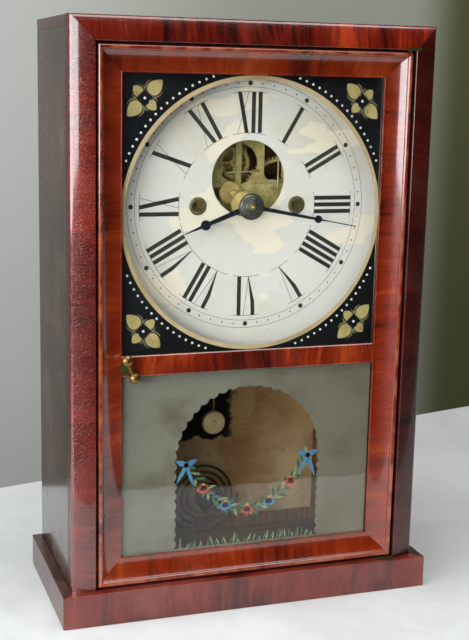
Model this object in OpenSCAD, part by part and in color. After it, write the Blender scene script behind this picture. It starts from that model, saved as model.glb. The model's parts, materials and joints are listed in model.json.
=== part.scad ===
// Ogee shelf clock: glazed door, painted dial, spring-driven striking movement.
// X runs to the right, Y from the front to the back, Z up. The origin is the middle
// of the footprint on the floor. Inside the modules y = 0 is the plane of the case
// front (the crest of the outer moulding), and placed() moves it to the origin.

/* [Case] */
// Width across the case sides
case_w = 292; // [284:1:380]
// Height from the floor to the top of the case
case_h = 464; // [430:1:600]
// Depth from the case front to the back
case_d = 134; // [130:0.5:200]
// Thickness of the side, top and bottom boards
board_t = 9; // [6:0.5:11]
// Thickness of the back board
back_t = 8; // [4:0.5:10]
// Height of the plinth round the foot
base_h = 26.4; // [22:0.2:34]
// How far the plinth stands out at each side
base_side = 8.5; // [4:0.5:14]
// How far the plinth stands out in front
base_front_out = 6; // [4:0.5:18]

/* [Ogee moulding] */
// Width of the moulding's face
moulding_w = 18.6; // [16:0.2:24]
// Depth of the moulding from its crest to its back
moulding_t = 18; // [16:0.5:22]
// Radius at its outer side
roll_r = 4; // [3:0.2:6]
// Slope of the broad roll where the outer radius takes over, degrees
crown_slope = 22; // [16:1:30]

/* [Door] */
// Gap between the moulding and the door
door_gap = 1.6; // [1:0.1:3]
// Width of the outer door members
rail_w = 20.2; // [16:0.2:26]
// Width of the rail between the two glasses
mid_rail_w = 16.3; // [12:0.1:20]
// Height of the lower glass that shows
tablet_h = 146.4; // [110:0.2:180]
// How far the door's bead lies behind the moulding's crest
door_set = 1; // [0:0.1:3]
// Radius of the half-round bead on the door's edge
bead_r = 2.2; // [1.6:0.1:2.8]
// Thickness of the glass
glass_t = 2; // [1.5:0.1:3]
// Height of the door catch above the rail's lower edge
latch_lift = 7.2; // [5:0.1:9]

/* [Dial] */
// Depth of the dial's face behind the case front
dial_y = 28.2; // [27.2:0.1:33]
// How far the hands' centre stands above the middle of the upper glass
dial_lift = 5.8; // [0:0.1:8]
// Radius of the open centre
open_r = 30; // [24:0.5:34]
// Height of the open centre above the hands' centre
open_lift = 21; // [16:0.5:22]
// Half the distance between the winding holes
wind_x = 41; // [40:0.5:46]
// Radius of a winding hole
wind_hole_r = 6.2; // [5:0.1:8]
// Length of the minute hand
minute_l = 91.6; // [70:0.2:95]
// Length of the hour hand
hour_l = 57.2; // [45:0.2:65]

/* [Pendulum and gong] */
// Height of the pendulum bob above the floor
bob_z = 125; // [112:1:150]
// Radius of the pendulum bob
bob_r = 10.5; // [8:0.5:14]
// Height of the gong's centre above the floor
gong_z = 54; // [52:0.5:60]
// Outer radius of the gong's coil
gong_r = 33; // [26:0.5:34]
// Turns of the gong's coil
gong_turns = 4; // [3:1:5]

/* [Hidden] */
$fn = 48;

// Running clearance of a pivot or arbor in its hole, and the gap between loose pieces
run = 0.05;
gap = 0.3;
// Margin by which a cutting shape passes the piece it cuts
cut = 1;

// Overall case
half_w = case_w / 2;
depth = case_d + base_front_out;
front_y = base_front_out - depth / 2;
inner_half = half_w - board_t;
back_face = case_d - back_t;
plinth_step = base_side;
top_under = case_h - board_t;

// Outer moulding: a broad roll, rounded over to its outer side. The door's cove makes the ogee's hollow
crown_r = roll_r + (moulding_w - roll_r) / sin(crown_slope);
roll_y = crown_r - (crown_r - roll_r) * cos(crown_slope);
round_to = roll_r * (1 - sin(crown_slope));

// Door
door_half = half_w - moulding_w - door_gap;
door_bottom = base_h + door_gap;
door_top = case_h - moulding_w - door_gap;
door_h = door_top - door_bottom;
door_back = moulding_t - gap;
foot_y = bead_r + door_set;
lip_w = 1;
lip_y = 9.2;
glass_y = 11;
rebate = 4;
// A narrow groove stands between the bead and the cove, and the lip is a little raised
quirk = 0.15;
quirk_d = 0.5;
lip_rise = 0.4;
cove_from = 2 * bead_r - quirk;
cove_w = rail_w - lip_w - cove_from;
cove_d = lip_y - foot_y - quirk_d;
cove_r = (pow(cove_w, 2) + pow(cove_d, 2)) / (2 * cove_d);
open_half = door_half - rail_w;
tablet_bottom = door_bottom + rail_w;
mid_bottom = tablet_bottom + tablet_h;
mid_top = mid_bottom + mid_rail_w;
window_top = door_top - rail_w;
mid_ease = 0.8;
strip_t = 3;
// Seam left between strips that only butt together
seam = 0.2;

// Door hinges: the pin stands in the bead at the door's right edge
hinge_x = door_half - bead_r;
hinge_y = foot_y;
hinge_pin_r = 1;
hinge_leaf_t = 0.7;
hinge_pin_l = 6;
hinge_barrel_r = 2.1;
hinge_leaf_w = 5.2;
hinge_leaf_l = 11;
hinge_flange = [11.8, 0.8, 2.6];
hinge_foot_w = 15;
hinge_foot_out = 5.6;
hinge_foot_right = door_gap + bead_r - gap;

// Catch
latch_x = -open_half + 6;
latch_z = mid_bottom + latch_lift;
latch_tilt = 23.5;
latch_lobe_r = 4.4;
latch_reach = 7.6;
latch_y = lip_y - 6.2;
latch_plate_t = 0.7;
latch_plate_y = lip_y - lip_rise - latch_plate_t;
spindle_r = 1.5;
stop_t = 5;
stop_below = 6;
stop_head = 22;
stop_w = inner_half - door_half + 9;
tongue_y = moulding_t + stop_t + gap;
tongue_t = 1.4;
tongue_w = 6;
tongue_l = 24;

// Dial and hands; the hands' centre is the middle of everything that turns
hands_z = (mid_top + window_top) / 2 + dial_lift;
dial_t = 1;
dial_half = inner_half - 2;
dial_bottom = latch_z + 6;
dial_top = top_under - 6;
block_w = 14;
block_d = 14;
block_h = 34;
dial_pin_r = 1;
dial_pin_inset = 5;
hour_hand_y = dial_y - 6.6;
minute_hand_y = dial_y - 8.8;
hand_t = 0.8;
washer_r = 10.5;
washer_y = dial_y - 11.3;
washer_h = 2.4;
washer_nut = [3, 0.8];
arbor_tip = 1.5;
minute_angle = 100.8;
hour_angle = 248.4;

// Movement, all of it carried from the dial's depth
front_plate_y = dial_y + 24.4;
plate_t = 2;
plate_space = 40;
back_plate_y = front_plate_y + plate_t + plate_space;
plate_half = 68;
plate_low = 60;
plate_high = 66;
ear_x = 73;
ear_r = 6;
ear_low = -50;
ear_high = 56;
pillar_x = 61;
pillar_low = -54;
pillar_high = 60;
pillar_r = 3;
tenon_r = 1.6;
tenon_l = 4;
nut_t = 2;
post_r = 5;
screw_r = 1.5;
screw_bite = 5;

// Arbors, as places beside and above the hands' centre
time_arbor = [wind_x, 0];
strike_arbor = [-wind_x, 0];
centre_arbor = [0, 0];
third_arbor = [-16.5, 25.5];
escape_arbor = [0, 31];
verge_arbor = [0, 54];
minute_stud = [-8.5, 8.5];
pin_arbor = [-31.6, -35];
warning_arbor = [-13.8, -38];
fly_arbor = [1.7, -35];
hammer_arbor = [-52, -36];

// Tooth form, in modules: long tapered wheel teeth and slim radial leaves
tooth_add = 0.9;
tooth_ded = 1.1;
tooth_root_w = 1.5;
tooth_tip_w = 0.55;
leaf_add = 0.45;
leaf_ded = 1.25;
leaf_w = 0.9;

// Teeth and leaves
great_teeth = 72;
centre_leaves = 10;
centre_teeth = 72;
third_leaves = 8;
third_teeth = 80;
escape_leaves = 8;
escape_teeth = 40;
cannon_leaves = 12;
minute_teeth = 36;
minute_leaves = 10;
hour_teeth = 40;
pin_leaves = 8;
pin_teeth = 64;
warning_leaves = 8;
warning_teeth = 60;
fly_leaves = 8;
count_teeth = 78;

// Modules follow from the distance between two arbors and their teeth
function apart(a, b) = norm(b - a);
function bearing(a, b) = atan2(b[1] - a[1], b[0] - a[0]);
function fitted(a, b, teeth, leaves) = 2 * apart(a, b) / (teeth + leaves);
time_great_m = fitted(time_arbor, centre_arbor, great_teeth, centre_leaves);
centre_m = fitted(centre_arbor, third_arbor, centre_teeth, third_leaves);
third_m = fitted(third_arbor, escape_arbor, third_teeth, escape_leaves);
cannon_m = fitted(centre_arbor, minute_stud, cannon_leaves, minute_teeth);
hour_m = fitted(centre_arbor, minute_stud, minute_leaves, hour_teeth);
strike_great_m = fitted(strike_arbor, pin_arbor, great_teeth, pin_leaves);
count_m = fitted(strike_arbor, pin_arbor, count_teeth, pin_leaves);
pin_m = fitted(pin_arbor, warning_arbor, pin_teeth, warning_leaves);
warning_m = fitted(warning_arbor, fly_arbor, warning_teeth, fly_leaves);

// Depths of the wheels between the plates, from the front plate's face
great_y = front_plate_y + 6;
great_t = 2;
ratchet_y = front_plate_y + 9;
escape_y = front_plate_y + 10.5;
escape_r = 14;
spring_y = front_plate_y + 11.5;
spring_h = 19;
warning_y = front_plate_y + 14;
fly_y = front_plate_y + 18;
late_y = front_plate_y + 33;
third_y = late_y + 2.6;
count_y = front_plate_y + 37.5;
wheel_t = 1.4;
arbor_r = 1.5;
pivot_r = 1;
wind_arbor_r = 2.2;
wind_square = 3.2;
wind_tip_y = dial_y + 8.4;
spring_r = 22.5;
spring_t = 0.6;
spring_turns = 6;
pin_circle_r = 12;
strike_pins = 8;

// Motion work in front of the front plate
cannon_y = front_plate_y - 6;
minute_wheel_y = front_plate_y - 5.2;
hour_wheel_y = front_plate_y - 12;
cannon_r = 2.05;
hour_pipe_r = 3;
stud_r = 1;
motion_t = 1.2;

// Pendulum, hung behind the back plate
pendulum_y = back_plate_y + plate_t + 8;
verge_z = hands_z + verge_arbor[1];
rod_r = 0.8;
spring_strip_l = 13;
spring_strip_w = 4;
spring_strip_t = 0.3;
bob_t = 6;
crutch_y = back_plate_y + plate_t + 1.4;
crutch_t = 1.2;
cock_gap_y = crutch_y + crutch_t + 1;

// Gong, screwed to the back board over the label
label_t = 0.3;
gong_x = -6;
gong_y = back_face - 11.5;
gong_wire_r = 1.2;
gong_inner_r = 11;
gong_pitch = (gong_r - gong_inner_r) / gong_turns;
gong_sides = 6;
gong_steps = 24;
hammer_head_r = 4;
hammer_head_l = 9;
hammer_rise = 10;
hammer_wire_r = 1;
hammer_tail = [6.8, 2];
hammer_arbor_r = 1.4;

module placed() translate([0, front_y, 0]) children();

// Flat shape drawn in X and Z, from depth y backwards through t
module slab(y, t) translate([0, y + t, 0]) rotate([90, 0, 0]) linear_extrude(t) children();

// Round bar along Y, from depth y through length l
module bar_y(at, y, l, r) translate([at[0], y + l, at[1]]) rotate([90, 0, 0]) cylinder(h = l, r = r);

// Round bar between any two points
module rod(a, b, r) {
    span = b - a;
    tilt = acos(span[2] / norm(span));
    turn = atan2(span[1], span[0]);
    translate(a) rotate([0, tilt, turn]) cylinder(h = norm(span), r = r, $fn = 24);
}

// Everything of the movement is drawn about the hands' centre and lifted to it
module lifted() placed() translate([0, 0, hands_z]) children();

/* ---------- Case ---------- */

module board(low, high) translate(low) cube(high - low);

// Section of the outer moulding, outer edge at x = 0, crest at y = 0
module roll_section() difference() {
    intersection() {
        square([moulding_w, moulding_t]);
        translate([moulding_w, crown_r]) circle(crown_r, $fn = 360);
    }
    difference() {
        translate([-cut, -cut]) square([cut + round_to, cut + roll_y]);
        translate([roll_r, roll_y]) circle(roll_r);
    }
}

// Section of a door member, outer edge at x = 0, rebated behind for the glass
module cove_section() {
    cove_x = rail_w - lip_w;
    difference() {
        union() {
            translate([bead_r, foot_y]) circle(bead_r, $fn = 32);
            translate([0, foot_y]) square([rail_w, door_back - foot_y]);
        }
        intersection() {
            translate([cove_x, lip_y - cove_r]) circle(cove_r, $fn = 240);
            translate([cove_from, foot_y - 2 * cut]) square([cove_w, lip_y - foot_y + 3 * cut]);
        }
        translate([cove_x - run, foot_y - 2 * cut]) square([lip_w + cut, lip_y - lip_rise - foot_y + 2 * cut]);
        translate([rail_w - rebate, glass_y]) square([rebate + cut, door_back]);
    }
}

// A member of length l standing on end, its section drawn by the child, mitred where asked
module member(l, w, mitre_low, mitre_high) {
    low = mitre_low ? w : 0;
    high = mitre_high ? w : 0;
    intersection() {
        linear_extrude(l) children();
        translate([0, door_back + moulding_t, 0]) rotate([90, 0, 0])
            linear_extrude(2 * (door_back + moulding_t))
                polygon([[0, 0], [w, low], [w, l - high], [0, l]]);
    }
}

module lying() rotate([0, 90, 0]) children();

module moulding_side() translate([-half_w, 0, base_h])
    member(case_h - base_h, moulding_w, false, true) roll_section();

module moulding_left() color("#6b1f14") placed() moulding_side();
module moulding_right() color("#5a1a12") placed() mirror([1, 0, 0]) moulding_side();
module moulding_top() color("#701f12") placed() translate([-half_w, 0, case_h])
    lying() member(case_w, moulding_w, true, true) roll_section();

module base_front() color("#4a1a14") placed() linear_extrude(base_h) polygon([
    [-half_w - base_side, -base_front_out], [half_w + base_side, -base_front_out],
    [half_w, plinth_step - base_front_out], [half_w, moulding_t],
    [-half_w, moulding_t], [-half_w, plinth_step - base_front_out]
]);

module base_strip() linear_extrude(base_h) polygon([
    [-half_w - base_side, -base_front_out], [-half_w, plinth_step - base_front_out],
    [-half_w, case_d], [-half_w - base_side, case_d]
]);
module base_sides() color("#35130f") placed() {
    base_strip();
    mirror([1, 0, 0]) base_strip();
}

module side_board() board([-half_w, moulding_t, 0], [-inner_half, case_d, top_under]);
module side_left() color("#3a2620") placed() side_board();
module side_right() color("#3a2620") placed() mirror([1, 0, 0]) side_board();
module top_board() color("#402018") placed()
    board([-half_w, moulding_t, top_under], [half_w, case_d, case_h]);

floor_z = base_h - 2 * board_t + 0.6;
module bottom_board() color("#8a6a48") placed()
    board([-inner_half, moulding_t, floor_z], [inner_half, back_face, floor_z + board_t]);

inside_bottom = floor_z + board_t;
post_places = [for (x = [-ear_x, ear_x], z = [ear_low, ear_high]) [x, z]];
module back_board() color("#93714b") placed() difference() {
    board([-inner_half, back_face, floor_z], [inner_half, case_d, top_under]);
    translate([0, 0, hands_z]) for (p = post_places) bar_y(p, back_face - cut, screw_bite + cut, screw_r);
}

// Strips that the door shuts against
module door_stops() color("#5b2d1a") placed() {
    for (side = [0, 1]) mirror([side, 0, 0])
        board([-inner_half, moulding_t, inside_bottom],
              [-inner_half + stop_w, moulding_t + stop_t, top_under]);
    reach = inner_half - stop_w - seam;
    board([-reach, moulding_t, top_under - stop_head], [reach, moulding_t + stop_t, top_under]);
    board([-reach, moulding_t, inside_bottom], [reach, moulding_t + stop_t, tablet_bottom - stop_below]);
}

label_half = 104;
label_top = hands_z - plate_low - 14;
module label() color("#c9b48a") placed()
    board([-label_half, back_face - label_t, inside_bottom + 12], [label_half, back_face, label_top]);

/* ---------- Dial ---------- */

dial_pin_places = [for (x = [-1, 1], z = [dial_bottom, dial_top])
    [x * (dial_half - dial_pin_inset), z + (z == dial_bottom ? dial_pin_inset : -dial_pin_inset)]];
module dial() color("#e8e4d6") placed() slab(dial_y, dial_t) difference() {
    translate([-dial_half, dial_bottom]) square([2 * dial_half, dial_top - dial_bottom]);
    translate([0, hands_z]) {
        circle(hour_pipe_r + 1);
        translate([0, open_lift]) circle(open_r, $fn = 96);
        for (s = [-1, 1]) translate([s * wind_x, 0]) circle(wind_hole_r);
    }
    for (p = dial_pin_places) translate(p) circle(dial_pin_r + run, $fn = 24);
}

module dial_blocks() color("#8a6a48") placed() for (p = dial_pin_places) difference() {
    low = p[1] > hands_z ? dial_top - block_h : dial_bottom;
    side = p[0] > 0 ? inner_half - block_w : -inner_half;
    board([side, dial_y + dial_t, low], [side + block_w, dial_y + dial_t + block_d, low + block_h]);
    bar_y(p, dial_y, 7, dial_pin_r + run);
}
module dial_pins() color("#b08d4a") placed() for (p = dial_pin_places) {
    bar_y(p, dial_y - 0.8, 0.8, 2);
    bar_y(p, dial_y - 0.8, 7, dial_pin_r);
}

/* ---------- Door ---------- */

// Upright door member as it stands at the left; a hole takes each hinge pin
module stile() translate([-door_half, 0, door_bottom])
    member(door_h, rail_w, true, true) cove_section();
module hinge_holes() for (z = [door_bottom - cut, door_top - hinge_pin_l])
    translate([hinge_x, hinge_y, z]) cylinder(h = hinge_pin_l + cut, r = hinge_pin_r + run, $fn = 24);

module stile_left() color("#8c2c16") placed() stile();
module stile_right() color("#8c2c16") placed() difference() {
    mirror([1, 0, 0]) stile();
    hinge_holes();
}
module rail_top() color("#94300f") placed() difference() {
    translate([-door_half, 0, door_top]) lying() member(2 * door_half, rail_w, true, true) cove_section();
    hinge_holes();
}
module rail_bottom() color("#94300f") placed() difference() {
    translate([-door_half, 0, door_bottom]) mirror([0, 0, 1]) lying()
        member(2 * door_half, rail_w, true, true) cove_section();
    hinge_holes();
}

// The middle rail butts between the stiles, level with the lips of their coves
module rail_middle() color("#9a3a12") placed() difference() {
    translate([-open_half, 0, mid_bottom]) rotate([90, 0, 90]) linear_extrude(2 * open_half) polygon([
        [lip_y, mid_ease], [lip_y + mid_ease, 0], [glass_y, 0], [glass_y, rebate],
        [door_back, rebate], [door_back, mid_rail_w - rebate], [glass_y, mid_rail_w - rebate],
        [glass_y, mid_rail_w], [lip_y + mid_ease, mid_rail_w], [lip_y, mid_rail_w - mid_ease]
    ]);
    bar_y([latch_x, latch_z], -cut, door_back + 2 * cut, spindle_r + run);
}

glass_over = rebate - 0.5;
module pane(low, high) board([-open_half - glass_over, glass_y, low - glass_over],
    [open_half + glass_over, glass_y + glass_t, high + glass_over]);
module upper_glass() color("#101512", 0.6) placed() pane(mid_top, window_top);
module lower_glass() color("#8d968a", 0.6) placed() pane(tablet_bottom, mid_bottom);

// Slips of wood that hold each pane in its rebate
module slips(low, high) {
    y = glass_y + glass_t;
    for (side = [0, 1]) mirror([side, 0, 0])
        board([-open_half - rebate, y, low - rebate], [-open_half - 1, y + strip_t, high + rebate]);
    for (z = [low - rebate, high + 1])
        board([-open_half - 1 + seam, y, z], [open_half + 1 - seam, y + strip_t, z + rebate - 1]);
}
module glazing_strips() color("#7a4a2a") placed() {
    slips(tablet_bottom, mid_bottom);
    slips(mid_top, window_top);
}

// Pivot hinges: leaves on the case carry pins that stand in the door's corners
module hinge_pin() cylinder(h = hinge_pin_l, r = hinge_pin_r, $fn = 24);
module upper_hinge() {
    translate([0, 0, hinge_leaf_t - hinge_pin_l]) hinge_pin();
    translate([-hinge_leaf_w / 2, -hinge_y, 0]) cube([hinge_leaf_w, hinge_y + hinge_leaf_l, hinge_leaf_t]);
    translate([-hinge_flange[0] / 3, -hinge_y - hinge_flange[1], 0]) cube(hinge_flange);
}
module lower_hinge() {
    hinge_pin();
    cylinder(h = hinge_leaf_t, r = hinge_leaf_w / 2);
    translate([hinge_foot_right - hinge_foot_w, -hinge_foot_out, 0])
        cube([hinge_foot_w, hinge_foot_out + hinge_leaf_w, hinge_leaf_t]);
}
module case_hinges() color("#6f6a40") placed() {
    translate([hinge_x, hinge_y, door_top + door_gap - hinge_leaf_t]) upper_hinge();
    translate([hinge_x, hinge_y, base_h]) lower_hinge();
}
// Brass bushes on the door's corner, one at each end of the stile
bush_t = 0.5;
module door_hinges() color("#9a8048") placed()
    for (z = [door_bottom - bush_t, door_top]) translate([hinge_x, hinge_y, z]) difference() {
        cylinder(h = bush_t, r = hinge_barrel_r);
        translate([0, 0, -cut]) cylinder(h = bush_t + 2 * cut, r = hinge_pin_r + run, $fn = 24);
    }

module latch_plate() color("#7c8464") placed() slab(latch_plate_y, latch_plate_t) translate([latch_x, latch_z])
    difference() {
        translate([-2.4, 0]) circle(5.6);
        circle(spindle_r + run);
    }
module latch_knob() color("#a98642") placed() {
    translate([latch_x, latch_y, latch_z]) rotate([0, -latch_tilt, 0]) {
        for (s = [-1, 1]) translate([0, 0, s * latch_reach]) scale([1, 0.8, 1]) sphere(latch_lobe_r);
        translate([0, 0, -latch_reach]) cylinder(h = 2 * latch_reach, r = 1.9, $fn = 24);
    }
    bar_y([latch_x, latch_z], latch_y, latch_plate_y - gap - latch_y, 2.8);
    bar_y([latch_x, latch_z], latch_y, tongue_y + tongue_t - latch_y, spindle_r);
}
module latch_tongue() color("#8d7440") placed() slab(tongue_y, tongue_t) translate([latch_x, latch_z])
    difference() {
        union() {
            circle(tongue_w / 2 + 0.6);
            translate([-tongue_w / 2, -tongue_l]) square([tongue_w, tongue_l]);
        }
        circle(spindle_r);
    }

/* ---------- Wheels ---------- */

// Points of a toothed outline: width at the root, width at the tip
function teeth(n, root_r, tip_r, root_w, tip_w) = [
    for (i = [0 : n - 1], k = [0 : 3])
        let (outer = k == 1 || k == 2, r = outer ? tip_r : root_r, w = outer ? tip_w : root_w,
             a = i * 360 / n + (k < 2 ? -1 : 1) * w / 2 / r * 180 / PI)
            r * [cos(a), sin(a)]
];

// Wheel with crossed-out spokes, a tooth pointing along `facing`
module wheel(n, m, facing, bore, spokes, hub, rim_w = 2.2) {
    r = n * m / 2;
    rim = r - tooth_ded * m - rim_w;
    difference() {
        rotate(facing) polygon(teeth(n, r - tooth_ded * m, r + tooth_add * m,
            tooth_root_w * m, tooth_tip_w * m));
        circle(bore);
        if (spokes > 0) difference() {
            circle(rim);
            circle(hub);
            for (i = [0 : spokes - 1]) rotate(i * 360 / spokes) translate([0, -1.2]) square([rim, 2.4]);
        }
    }
}

// Pinion with a space facing along `facing`
module pinion(n, m, facing) {
    r = n * m / 2;
    rotate(facing + 180 / n) polygon(teeth(n, r - leaf_ded * m, r + leaf_add * m, leaf_w * m, leaf_w * m));
}

module wheel_at(at, y, t) lifted() slab(y, t) translate(at) children();

// Arbor between the plates with a pivot at each end
module arbor(at, from, to) {
    shoulder = 0.4;
    plates_from = front_plate_y + plate_t;
    bar_y(at, plates_from + shoulder, plate_space - 2 * shoulder, from);
    bar_y(at, front_plate_y, plate_space + 2 * plate_t, to);
}

/* ---------- Motion work and hands ---------- */

module pointer(l, blob_at, blob_r, root_w, tip_w, eye) difference() {
    union() {
        circle(5.4);
        polygon([[root_w / 2, 4.5], [tip_w / 2, blob_at], [tip_w / 5, blob_at + 3 * blob_r], [0.35, l],
                 [-0.35, l], [-tip_w / 5, blob_at + 3 * blob_r], [-tip_w / 2, blob_at], [-root_w / 2, 4.5]]);
        translate([0, blob_at]) circle(blob_r, $fn = 32);
    }
    circle(eye);
}
module minute_hand() color("#1d2430") wheel_at(centre_arbor, minute_hand_y, hand_t)
    rotate(-minute_angle) pointer(minute_l, 58, 3.1, 3.4, 2, cannon_r);
module hour_hand() color("#1d2430") wheel_at(centre_arbor, hour_hand_y, hand_t)
    rotate(-hour_angle) pointer(hour_l, 39, 4, 4.4, 3, hour_pipe_r);

// Domed washer over the hands with its nut, riding on the minute pipe
module hand_washer() color("#4c545c") lifted() translate([0, washer_y + washer_h, 0]) rotate([90, 0, 0]) {
    dome_r = (pow(washer_r, 2) + pow(washer_h, 2)) / (2 * washer_h);
    difference() {
        union() {
            intersection() {
                translate([0, 0, washer_h - dome_r]) sphere(dome_r, $fn = 96);
                cylinder(h = washer_h + cut, r = washer_r);
            }
            cylinder(h = washer_h + washer_nut[1], r = washer_nut[0]);
        }
        translate([0, 0, -cut]) cylinder(h = washer_h + 2 + cut, r = pivot_r + run, $fn = 24);
    }
}
module cannon_pinion() color("#a8843c") lifted() difference() {
    union() {
        bar_y(centre_arbor, washer_y + washer_h, front_plate_y - 2 - washer_y - washer_h, cannon_r);
        slab(cannon_y, 3) pinion(cannon_leaves, cannon_m, bearing(centre_arbor, minute_stud));
    }
    bar_y(centre_arbor, washer_y, front_plate_y - washer_y, pivot_r + run);
}
module hour_wheel() color("#b9953f") lifted() difference() {
    union() {
        bar_y(centre_arbor, hour_hand_y, hour_wheel_y + motion_t + 1 - hour_hand_y, hour_pipe_r);
        slab(hour_wheel_y, motion_t) wheel(hour_teeth, hour_m, bearing(centre_arbor, minute_stud), 1, 0, 0);
    }
    bar_y(centre_arbor, hour_hand_y - cut, hour_wheel_y + 3 * cut - hour_hand_y + 2, cannon_r + 0.1);
}
module minute_wheel() color("#c29d45") lifted() translate([minute_stud[0], 0, minute_stud[1]]) {
    facing = bearing(minute_stud, centre_arbor);
    difference() {
        union() {
            slab(minute_wheel_y, motion_t) wheel(minute_teeth, cannon_m, facing, 0.5, 0, 0);
            slab(hour_wheel_y - 0.8, minute_wheel_y - hour_wheel_y + 0.8)
                pinion(minute_leaves, hour_m, facing);
        }
        bar_y([0, 0], hour_wheel_y - 2, 20, stud_r + run);
    }
}

/* ---------- Plates ---------- */

// Rounded opening in a plate
module port(x0, z0, x1, z1, r) {
    translate([x0 + r, z0]) square([x1 - x0 - 2 * r, z1 - z0]);
    translate([x0, z0 + r]) square([x1 - x0, z1 - z0 - 2 * r]);
    for (x = [x0 + r, x1 - r], z = [z0 + r, z1 - r]) translate([x, z]) circle(r, $fn = 24);
}
pillar_places = [for (x = [-pillar_x, pillar_x], z = [pillar_low, pillar_high]) [x, z]];
pivot_places = [third_arbor, escape_arbor, verge_arbor, pin_arbor, warning_arbor, fly_arbor, hammer_arbor];
module holes(places, r) for (p = places) translate(p) circle(r, $fn = 24);
module plate_ports() {
    port(-56, 32, -24, 50, 4);
    port(22, 18, 56, 50, 5);
    port(14, -52, 54, -24, 5);
    port(-24, -24, -14, 12, 3);
}
// Round opening that shows the escape wheel behind its upright strap
escape_port_r = 16.5;
escape_strap_w = 5;
pivot_pad_r = 3.4;
module escape_port() difference() {
    translate(escape_arbor) circle(escape_port_r);
    translate([-escape_strap_w / 2, 0]) square([escape_strap_w, plate_high]);
    translate(third_arbor) circle(pivot_pad_r);
}
module plate_outline() port(-plate_half, -plate_low, plate_half, plate_high, 7);

module front_plate() color("#b8913a") lifted() {
    slab(front_plate_y, plate_t) difference() {
        plate_outline();
        plate_ports();
        escape_port();
        holes(pillar_places, tenon_r + run);
        holes(pivot_places, pivot_r + run);
        circle(arbor_r + run);
        holes([time_arbor, strike_arbor], wind_arbor_r + run);
    }
    bar_y(minute_stud, hour_wheel_y - 2, front_plate_y - hour_wheel_y + 2, stud_r);
}
module back_plate() color("#b8913a") lifted() slab(back_plate_y, plate_t) difference() {
    union() {
        plate_outline();
        for (p = post_places) translate(p) circle(ear_r);
        for (z = [ear_low, ear_high]) translate([-ear_x, z - ear_r]) square([2 * ear_x, 2 * ear_r]);
    }
    plate_ports();
    holes(pillar_places, tenon_r + run);
    holes([for (p = pivot_places) if (p != verge_arbor) p], pivot_r + run);
    holes([centre_arbor], pivot_r + run);
    holes([verge_arbor], 1.3);
    holes([time_arbor, strike_arbor], arbor_r + run);
    holes(post_places, screw_r + run);
}
module pillars() color("#c9a24a") lifted() for (p = pillar_places) {
    bar_y(p, front_plate_y + plate_t, plate_space, pillar_r);
    bar_y(p, front_plate_y - tenon_l, plate_space + 2 * plate_t + tenon_l, tenon_r);
}
module pillar_nuts() color("#a8843c") lifted() for (p = pillar_places) slab(front_plate_y - nut_t, nut_t)
    translate(p) difference() {
        circle(3.2, $fn = 6);
        circle(tenon_r + run, $fn = 24);
    }
post_l = back_face - back_plate_y - plate_t;
module movement_posts() color("#b8913a") lifted() for (p = post_places) difference() {
    bar_y(p, back_plate_y + plate_t, post_l, post_r);
    bar_y(p, back_plate_y, post_l + 2 * plate_t, screw_r + run);
}
module movement_screws() color("#6c6f74") lifted() for (p = post_places) {
    bar_y(p, back_plate_y - 1.6, 1.6, 3);
    bar_y(p, back_plate_y - 1.6, post_l + plate_t + 1.6 + screw_bite - 0.4, screw_r);
}

/* ---------- Going train ---------- */

// Great wheel, loose on its winding arbor, with the click that the ratchet drives
module great_wheel(at, m, facing) translate([at[0], 0, at[1]]) {
    slab(great_y, great_t) wheel(great_teeth, m, facing, wind_arbor_r + run, 4, 15);
    slab(great_y + great_t, 1.8) translate([0, 12]) {
        circle(2.2);
        polygon([[0, -2], [7.5, -3.2], [7, -1.2], [0, 2]]);
    }
}
module time_great_wheel() color("#b9953f") lifted()
    great_wheel(time_arbor, time_great_m, bearing(time_arbor, centre_arbor));
module strike_great_wheel() color("#b9953f") lifted()
    great_wheel(strike_arbor, strike_great_m, bearing(strike_arbor, pin_arbor));

// Winding arbor with its square and ratchet
module winding_arbor(at) translate([at[0], 0, at[1]]) {
    translate([-wind_square / 2, wind_tip_y, -wind_square / 2])
        cube([wind_square, front_plate_y - 3 - wind_tip_y, wind_square]);
    bar_y([0, 0], front_plate_y - 3, back_plate_y - 0.3 - front_plate_y + 3, wind_arbor_r);
    bar_y([0, 0], back_plate_y - 1, plate_t + 1, arbor_r);
    slab(ratchet_y, 1.5) polygon([for (i = [0 : 13], k = [0, 1])
        (k == 0 ? 6.6 : 8.4) * [cos(i * 360 / 14), sin(i * 360 / 14)]]);
}
module time_winding_arbor() color("#8a8d90") lifted() winding_arbor(time_arbor);
module strike_winding_arbor() color("#8a8d90") lifted() winding_arbor(strike_arbor);

// Mainspring: a ribbon wound in a flat spiral, with its outer end looped round an upper pillar.
// It is drawn for the right-hand side
module mainspring() {
    steps = 24 * spring_turns;
    inner = wind_arbor_r + 0.4;
    loop_r = pillar_r + run;
    loop_at = [pillar_x - wind_x, pillar_high];
    function around(r, a) = r * [cos(a), sin(a)];
    function coil_r(i) = inner + (spring_r - inner - spring_t) * i / steps;
    // Places along the ribbon's inner face, each with the direction that the ribbon is thick in
    path = concat(
        [for (i = [0 : steps]) [around(coil_r(i), i * 15), i * 15]],
        [for (a = [0 : 15 : 300]) [loop_at + around(loop_r, a), a]]
    );
    inside = [for (p = path) p[0]];
    outside = [for (i = [len(path) - 1 : -1 : 0]) path[i][0] + around(spring_t, path[i][1])];
    slab(spring_y, spring_h) translate([wind_x, 0]) polygon(concat(inside, outside));
}
module time_mainspring() color("#4f5b66") lifted() mainspring();
module strike_mainspring() color("#4f5b66") lifted() mirror([1, 0, 0]) mainspring();

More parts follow.
